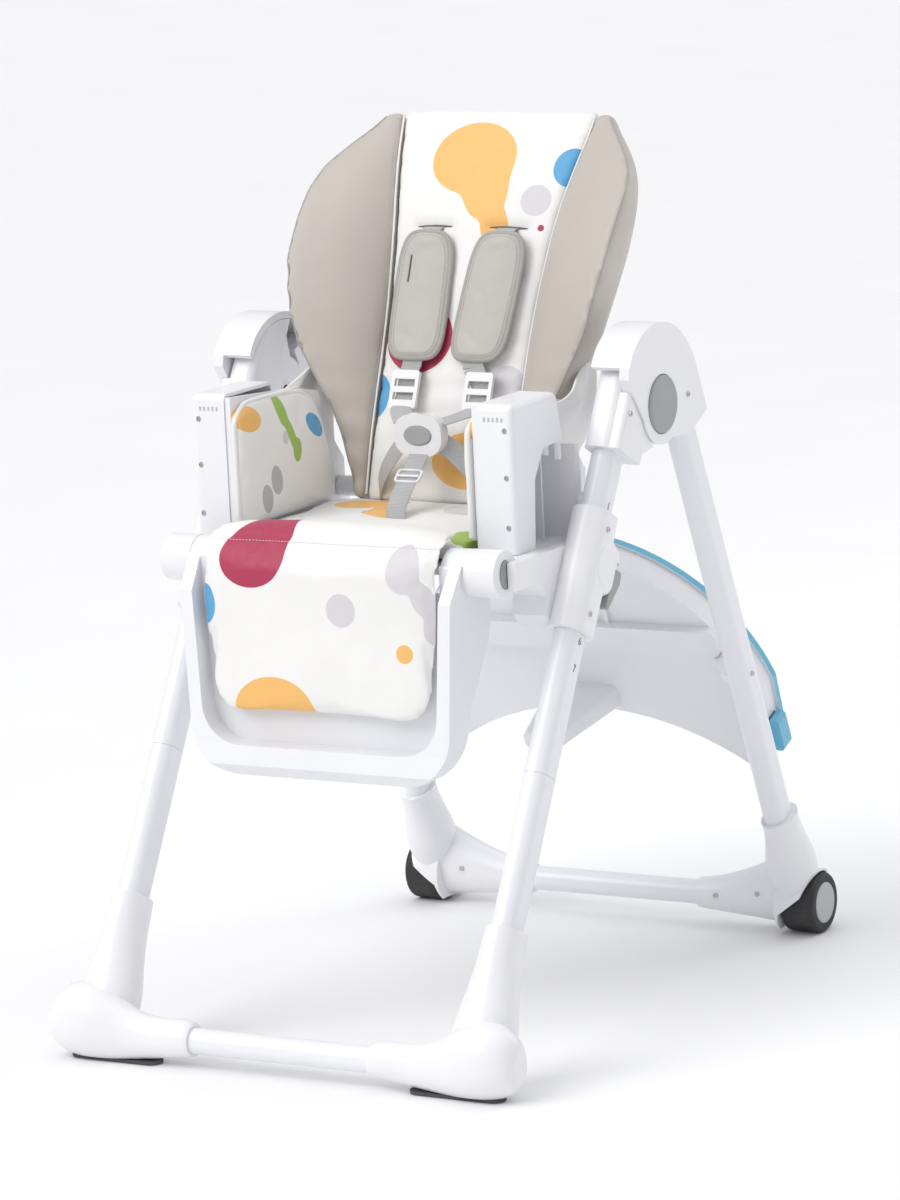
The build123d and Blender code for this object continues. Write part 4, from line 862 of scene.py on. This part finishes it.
WALL_TOP = (
    (-0.185, 0.702),
    (-0.178, 0.713),
    (-0.160, 0.719),
    (-0.06, 0.716),
    (-0.025, 0.709),
    (-0.004, 0.688),
    (0.010, 0.650),
    (0.016, 0.600),
)
for s, sign in PAIR:

    def wall_ring(y, shrink=1.0):
        top = smooth_between(WALL_TOP, y)[0]
        mid = (0.574 + top) / 2
        ring = [(0.1475, 0.574), (0.1450, 0.590), (0.1435, mid - 0.02), (0.1430, mid + 0.02),
                (0.1440, top - 0.022), (0.1455, top - 0.010),
                (0.1490, top - 0.002), (0.1545, top + 0.001), (0.1600, top - 0.002), (0.1635, top - 0.008)]
        ring += [(0.1570, top - 0.013), (0.1570, mid), (0.1570, 0.574)]
        return [Vector((sign * (0.1515 + (x - 0.1515) * shrink), y,
                        mid + (z - mid) * (0.96 + 0.04 * shrink))) for x, z in ring]

    rows = [wall_ring(-0.1855, 0.4)]
    rows += [wall_ring(-0.183 + 0.197 * k / 22) for k in range(23)] + [wall_ring(0.0155, 0.4)]
    wall = loft(f"side_pad_{s}", rows, wall_cloth)
    puff(wall, 3.0, 0.004, 0.0045, lambda co: abs(co.x) > 0.1555)
    shape_skin(wall, lambda co: Vector((-sign * 0.0016 * noise.noise(co * 11)
                                        * (1 if abs(co.x) < 0.152 else 0), 0, 0)))
    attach(wall, "seat")
    skin = surface(wall)
    front_line = []
    for k in range(16):
        z = 0.580 + (0.700 - 0.580) * k / 15
        front_line.append(Vector((sign * 0.1525, -0.1865, z)))
    for k in range(1, 18):
        y = -0.18 + 0.17 * k / 17
        z = smooth_between(WALL_TOP, y)[0] + 0.006
        front_line.append(skin.find_nearest(Vector((sign * 0.152, y, z)))[0])
    cord = piping(f"side_pad_{s}_piping", front_line, 0.0032, plain_white)
    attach(cord, "seat")

    # loose side gusset from the wall pad up to the outside of the bolster
    low_front, low_rear = Vector((0.1625, -0.078, 0.712)), Vector((0.162, 0.046, 0.636))
    top_rear, top_front = on_back(0.170, 0.026, 0.190), on_back(0.179, -0.020, 0.128)
    front, rear = [], []
    count = 13
    last, layer = count - 1, count * count
    for i in range(count):
        u = i / last
        front_row, rear_row = [], []
        for j in range(count):
            v = j / last
            p = low_front.lerp(low_rear, u).lerp(top_front.lerp(top_rear, u), v)
            slack = sin(pi * v) * (0.011 + 0.005 * sin(pi * u))
            slack += 0.004 * sin(5 * pi * u + 2 * v) * sin(pi * v)
            p = p + Vector((slack, 0, -0.010 * sin(pi * v)))
            front_row.append(Vector((sign * (p.x + 0.0016), p.y, p.z)))
            rear_row.append(Vector((sign * (p.x - 0.0016), p.y, p.z)))
        front.append(front_row)
        rear.append(rear_row)
    points = [p for row in front for p in row] + [p for row in rear for p in row]
    faces = []
    for i in range(last):
        for j in range(last):
            a, b = i * count + j, i * count + j + 1
            c, d = b + count, a + count
            faces += [(a, b, c, d), (layer + d, layer + c, layer + b, layer + a)]
    end_row = last * count
    for k in range(last):
        here, after = k * count, (k + 1) * count
        edges = ((k, k + 1), (end_row + k + 1, end_row + k), (after, here), (here + last, after + last))
        for a, b in edges:
            faces.append((b, a, layer + a, layer + b))
    gusset = mesh_object(f"side_gusset_{s}", points, faces, wall_cloth)
    modified(gusset, ("SUBSURF", {"levels": 2}))
    shape_skin(gusset, lambda co: Vector((sign * 0.003 * noise.noise(co * 20), 0, 0)))
    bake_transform(gusset)

# ------------------------------------------------------------------ leg rest cover

HINGE = (-0.229, 0.549)
FLAP_MID = 0.0375


def flap_path(t):
    """(Y, Z, outward direction) along the cover's middle line, from its lower edge up and over the hinge."""
    straight, arc, over = 0.165, FLAP_MID * pi / 2, 0.034
    at = t * (straight + arc + over)
    if at < straight:
        lean = 0.004 * (1 - at / straight)
        return HINGE[0] - FLAP_MID - lean, HINGE[1] - straight + at, (-1.0, 0.0)
    if at < straight + arc:
        turn = pi - (at - straight) / FLAP_MID
        return HINGE[0] + FLAP_MID * cos(turn), HINGE[1] + FLAP_MID * sin(turn), (cos(turn), sin(turn))
    rest = at - straight - arc
    return HINGE[0] + rest, HINGE[1] + FLAP_MID - 0.0015 * rest / over, (0.0, 1.0)


def flap_ring(t, shrink=1.0, narrow=0.0):
    y, z, (oy, oz) = flap_path(t)
    half = between(((0, 0.149), (0.45, 0.155), (0.72, 0.158), (0.9, 0.154), (1.0, 0.146)), t)[0] - narrow
    thick = 0.0065
    ring = []
    for k in range(17):
        u = -1 + 2 * k / 16
        rise = thick * (1 - abs(u) ** 8) ** 0.5 if abs(u) < 1 else 0.0
        ring.append((half * u, rise * shrink))
    for k in range(15, 0, -1):
        u = -1 + 2 * k / 16
        ring.append((half * u, -thick * 0.9 * shrink * (1 - abs(u) ** 12)))
    return [Vector((x, y + oy * out, z + oz * out)) for x, out in ring]


rows = []
for t, shrink, narrow in ((0.0, 0.3, 0.030), (0.006, 0.75, 0.0235), (0.02, 1.0, 0.0165),
                          (0.045, 1.0, 0.0095),
                          (0.075, 1.0, 0.0045), (0.11, 1.0, 0.0015), (0.14, 1.0, 0.0)):
    rows.append(flap_ring(t, shrink, narrow))
rows += [flap_ring(0.16 + 0.82 * k / 26) for k in range(27)]
rows += [flap_ring(0.995, 0.8), flap_ring(1.0, 0.3)]
flap = loft("leg_rest_cushion", rows, flap_cloth)


def flap_outward(co):
    """Distance in front of the cover's middle line, and how far round the hinge the point lies."""
    dy, dz = co.y - HINGE[0], co.z - HINGE[1]
    if dz < 0:
        return -(co.y - HINGE[0]) - FLAP_MID
    if dy > 0:
        return dz - FLAP_MID
    return hypot(dy, dz) - FLAP_MID


puff(flap, 3.5, 0.004, 0.005, lambda co: flap_outward(co) < -0.002)


def flap_creases(co):
    out = max(0.0, min(1.0, (flap_outward(co) + 0.001) / 0.006))
    dy, dz = co.y - HINGE[0], co.z - HINGE[1]
    normal = Vector((0, -1, 0)) if dz < 0 else Vector((0, dy, dz)).normalized() if dy < 0 else Vector((0, 0,
            1))
    height = 0.0016 * noise.noise(Vector((co.x * 12, co.y * 12, co.z * 8)))
    height += 0.0011 * noise.noise(Vector((co.x * 30, co.y * 9, co.z * 9)))
    seam = abs(hypot(dy, dz) - 0.045) < 0.02 and dz > 0 and dy < 0
    if seam:
        height -= 0.0022 * max(0.0, 1 - abs(dz - 0.034) / 0.005)
    return normal * height * out


shape_skin(flap, flap_creases)
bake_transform(flap)
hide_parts("calf_pad")
flap_skin = surface(flap)
seam_line = []
for k in range(61):
    x = -0.150 + 0.300 * k / 60
    seam_line.append(flap_skin.find_nearest(Vector((x, HINGE[0] - 0.034, HINGE[1] + 0.038)))[0])
sewn = stitches("leg_rest_seam_stitches",
                [p + Vector((0, -0.0003, 0.0003)) for p in seam_line], thread_white)
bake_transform(sewn)

# ------------------------------------------------------------------ shoulder pads

PAD_LOW, PAD_HIGH = 0.146, 0.297
LEAN_IN = {"right": 0.013, "left": -0.003}
pads = []
for s, sign in PAIR:

    def pad_centre(along):
        """X of the pad's middle at a height: the pads lean with the webs to the buckle."""
        return sign * HARNESS_X - LEAN_IN[s] * (PAD_HIGH - along) / (PAD_HIGH - PAD_LOW)

    def pad_ring(level, shrink=1.0):
        """Ring of the pad's outline at a level through its thickness, from -1 at the back to 1 in front."""
        ring = []
        for k in range(40):
            a = 2 * pi * k / 40
            c, d = cos(a), sin(a)
            half = 0.0345 + 0.002 * -d
            x = half * (abs(c) ** 0.5) * (1 if c > 0 else -1)
            along = (PAD_HIGH - PAD_LOW) / 2 * (abs(d) ** 0.42) * (1 if d > 0 else -1)
            along = (PAD_LOW + PAD_HIGH) / 2 + along * (1 - (1 - shrink) * 0.4)
            bow = 0.004 * (1 - abs(c))
            ring.append(on_back(pad_centre(along) + x * shrink, -0.0075 - bow - 0.0052 * level, along))
        return ring

    levels = ((-1, 0.5), (-1, 0.9), (-0.5, 0.985), (0, 1.0), (0.5, 0.985), (1, 0.9), (1, 0.5))
    shoulder = loft(f"shoulder_pad_{s}", [pad_ring(level, shrink) for level, shrink in levels], pad_taupe)

    def pad_edge(co):
        along = (co - FOOT).dot(UP)
        u = abs(co.x - pad_centre(along))
        return u > 0.0315 or along < PAD_LOW + 0.004 or along > PAD_HIGH - 0.004

    puff(shoulder, 4.0, 0.003, 0.004, pad_edge)
    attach(shoulder, "backrest")
    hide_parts("shoulder_pads")
    outline = pad_ring(0, 1.0)
    tape = piping(f"shoulder_pad_{s}_binding", outline, 0.0034, binding, closed=True)
    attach(tape, "backrest")
    skin = surface(shoulder)
    inner = pad_ring(0, 0.84)
    inner = laid_on(skin, inner + inner[:1], BEHIND, 0.0002)
    sewn = stitches(f"shoulder_pad_{s}_stitches", inner, binding, 0.0036, 0.0024, 0.00045)
    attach(sewn, "backrest")
    pads.append(shoulder)
# a dark cord along the left pad's opening: painted shade in the opening
slit_line = [on_back(-HARNESS_X - 0.016, -0.03, 0.236 + 0.032 * k / 8) for k in range(9)]
slit_line = laid_on(surface(pads[1]), slit_line, BEHIND, 0.0003)
opening_shade = piping("shoulder_pad_left_opening_shade", slit_line, 0.0011, shade_and_print_dark)
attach(opening_shade, "backrest")

# ------------------------------------------------------------------ webs and buckle parts

BUCKLE = Vector((0, -0.029, 0.665))
for s, sign in PAIR:
    x = sign * HARNESS_X
    foot = x - LEAN_IN[s]
    upper = ribbon(f"shoulder_web_{s}",
                   [on_back(x, 0.012, 0.3065), on_back(x, -0.001, 0.3045), on_back(x, -0.0075, 0.296),
                    on_back(x, -0.0090, 0.280), on_back((x + foot) / 2, -0.0095, 0.220),
                    on_back(foot, -0.0095, 0.150), on_back(foot, -0.0102, 0.136)],
                   0.0255, 0.0017, strap_cloth)
    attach(upper, "backrest")
    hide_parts("shoulder_straps")
    lower = ribbon(f"harness_web_{s}",
                   [on_back(foot, -0.0100, 0.138), on_back((x + foot) / 2, -0.0105, 0.128),
                    on_back(x, -0.0080, 0.116), on_back(x, -0.0085, 0.104), on_back(x, -0.0120, 0.092),
                    on_back(x * 0.93, -0.0200, 0.082), BUCKLE + Vector((sign * 0.024, 0.004, 0.014))],
                   0.0250, 0.0017, strap_cloth)
    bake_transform(lower)
    waist = ribbon(f"waist_web_{s}",
                   [BUCKLE + Vector((sign * 0.022, 0.004, -0.008)),
                    BUCKLE + Vector((sign * 0.038, 0.009, -0.020)),
                    Vector((sign * 0.062, -0.012, 0.617)), Vector((sign * 0.076, -0.001, 0.594)),
                    Vector((sign * 0.082, 0.006, 0.584))],
                   0.0230, 0.0016, strap_cloth, across=(0.25 * sign, 0.35, 0.9))
    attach(waist, "seat")


def frame_ring(name, centre, right, up, width, height, bar, thick, material, round_by=0.3):
    """A rounded rectangular plastic frame that a web threads through."""
    out = right.cross(up).normalized()
    rings = []
    count = 32
    for k in range(count):
        a = 2 * pi * k / count
        c, d = cos(a), sin(a)
        px = (abs(c) ** round_by) * (1 if c > 0 else -1)
        py = (abs(d) ** round_by) * (1 if d > 0 else -1)
        spot = centre + right * px * width / 2 + up * py * height / 2
        spoke = (right * px * width / height + up * py).normalized()
        rings.append([spot + spoke * bar * 0.5 * cos(b) + out * thick * 0.5 * sin(b)
                      for b in (j * pi / 4 for j in range(8))])
    points = [p for ring in rings for p in ring]
    faces = []
    for i in range(count):
        n = (i + 1) % count
        for j in range(8):
            m = (j + 1) % 8
            faces.append((i * 8 + j, i * 8 + m, n * 8 + m, n * 8 + j))
    return modified(mesh_object(name, points, faces, material), ("SUBSURF", {"levels": 1}))


crotch_route = [Vector((0, y, z)) for y, z in (
    (-0.095, 0.556), (-0.0955, 0.574), (-0.092, 0.590), (-0.078, 0.606), (-0.060, 0.621), (-0.043, 0.636),
    (-0.031, 0.649))]
crotch = ribbon("crotch_web", crotch_route, 0.0250, 0.0018, strap_cloth)
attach(crotch, "seat")
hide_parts("crotch_strap")
slope = (crotch_route[5] - crotch_route[3]).normalized()
tri_glide = frame_ring("crotch_adjuster", crotch_route[4] - Vector((0, 0.001, -0.001)), Vector((1, 0, 0)),
                       slope, 0.031, 0.017, 0.0042, 0.0046, clear_white)
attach(tri_glide, "seat")
bar_line = [crotch_route[4] + Vector((u, -0.002, 0.0015)) for u in (-0.014, -0.007, 0, 0.007, 0.014)]
glide_bar = piping("crotch_adjuster_bar", bar_line, 0.0017, clear_white)
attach(glide_bar, "seat")

# ------------------------------------------------------------------ height numbers on the front legs

LEG_UP = Vector((0, sin(FRONT_LEAN), cos(FRONT_LEAN)))
LEG_BACK = Vector((0, cos(FRONT_LEAN), -sin(FRONT_LEAN)))
HOLE_PITCH = 0.032
LEG_SIDE = 0.2597
for s, sign in PAIR:
    for number in range(1, 8):
        data = bpy.data.curves.new(f"height_number_{number}_{s}", "FONT")
        data.body = str(number)
        data.size = 0.0125
        data.extrude = 0.00015
        data.align_x = "CENTER"
        data.align_y = "CENTER"
        data.materials.append(shade_and_print_dark)
        text = bpy.data.objects.new(data.name, data)
        along = -0.141 - HOLE_PITCH * (number - 1)
        place = Vector((0, PIVOT_Y, PIVOT_Z)) + LEG_BACK * FRONT_OFFSET + LEG_UP * along
        place += Vector((sign * LEG_SIDE, 0, 0))
        out = Vector((sign, 0, 0))
        right = LEG_UP.cross(out)
        text.matrix_world = Matrix((right, LEG_UP, out)).transposed().to_4x4()
        text.location = place
        scene.collection.objects.link(text)
        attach(text, "front_frame")

# ------------------------------------------------------------------ floor

floor_shader = Shader("floor", (0.90, 0.90, 0.905), 0.6)
floor_shader.set("Roughness", floor_shader.spread(floor_shader.noise(3, 4), 0.3, 0.7, 0.55, 0.7))
floor_data = bpy.data.meshes.new("floor")
floor_data.from_pydata([(-30, -30, -0.0004), (30, -30, -0.0004), (30, 30, -0.0004), (-30, 30, -0.0004)], [],
                       [(0, 1, 2, 3)])
floor_data.materials.append(floor_shader.material)
floor = bpy.data.objects.new("floor", floor_data)
scene.collection.objects.link(floor)

bpy.context.view_layer.update()
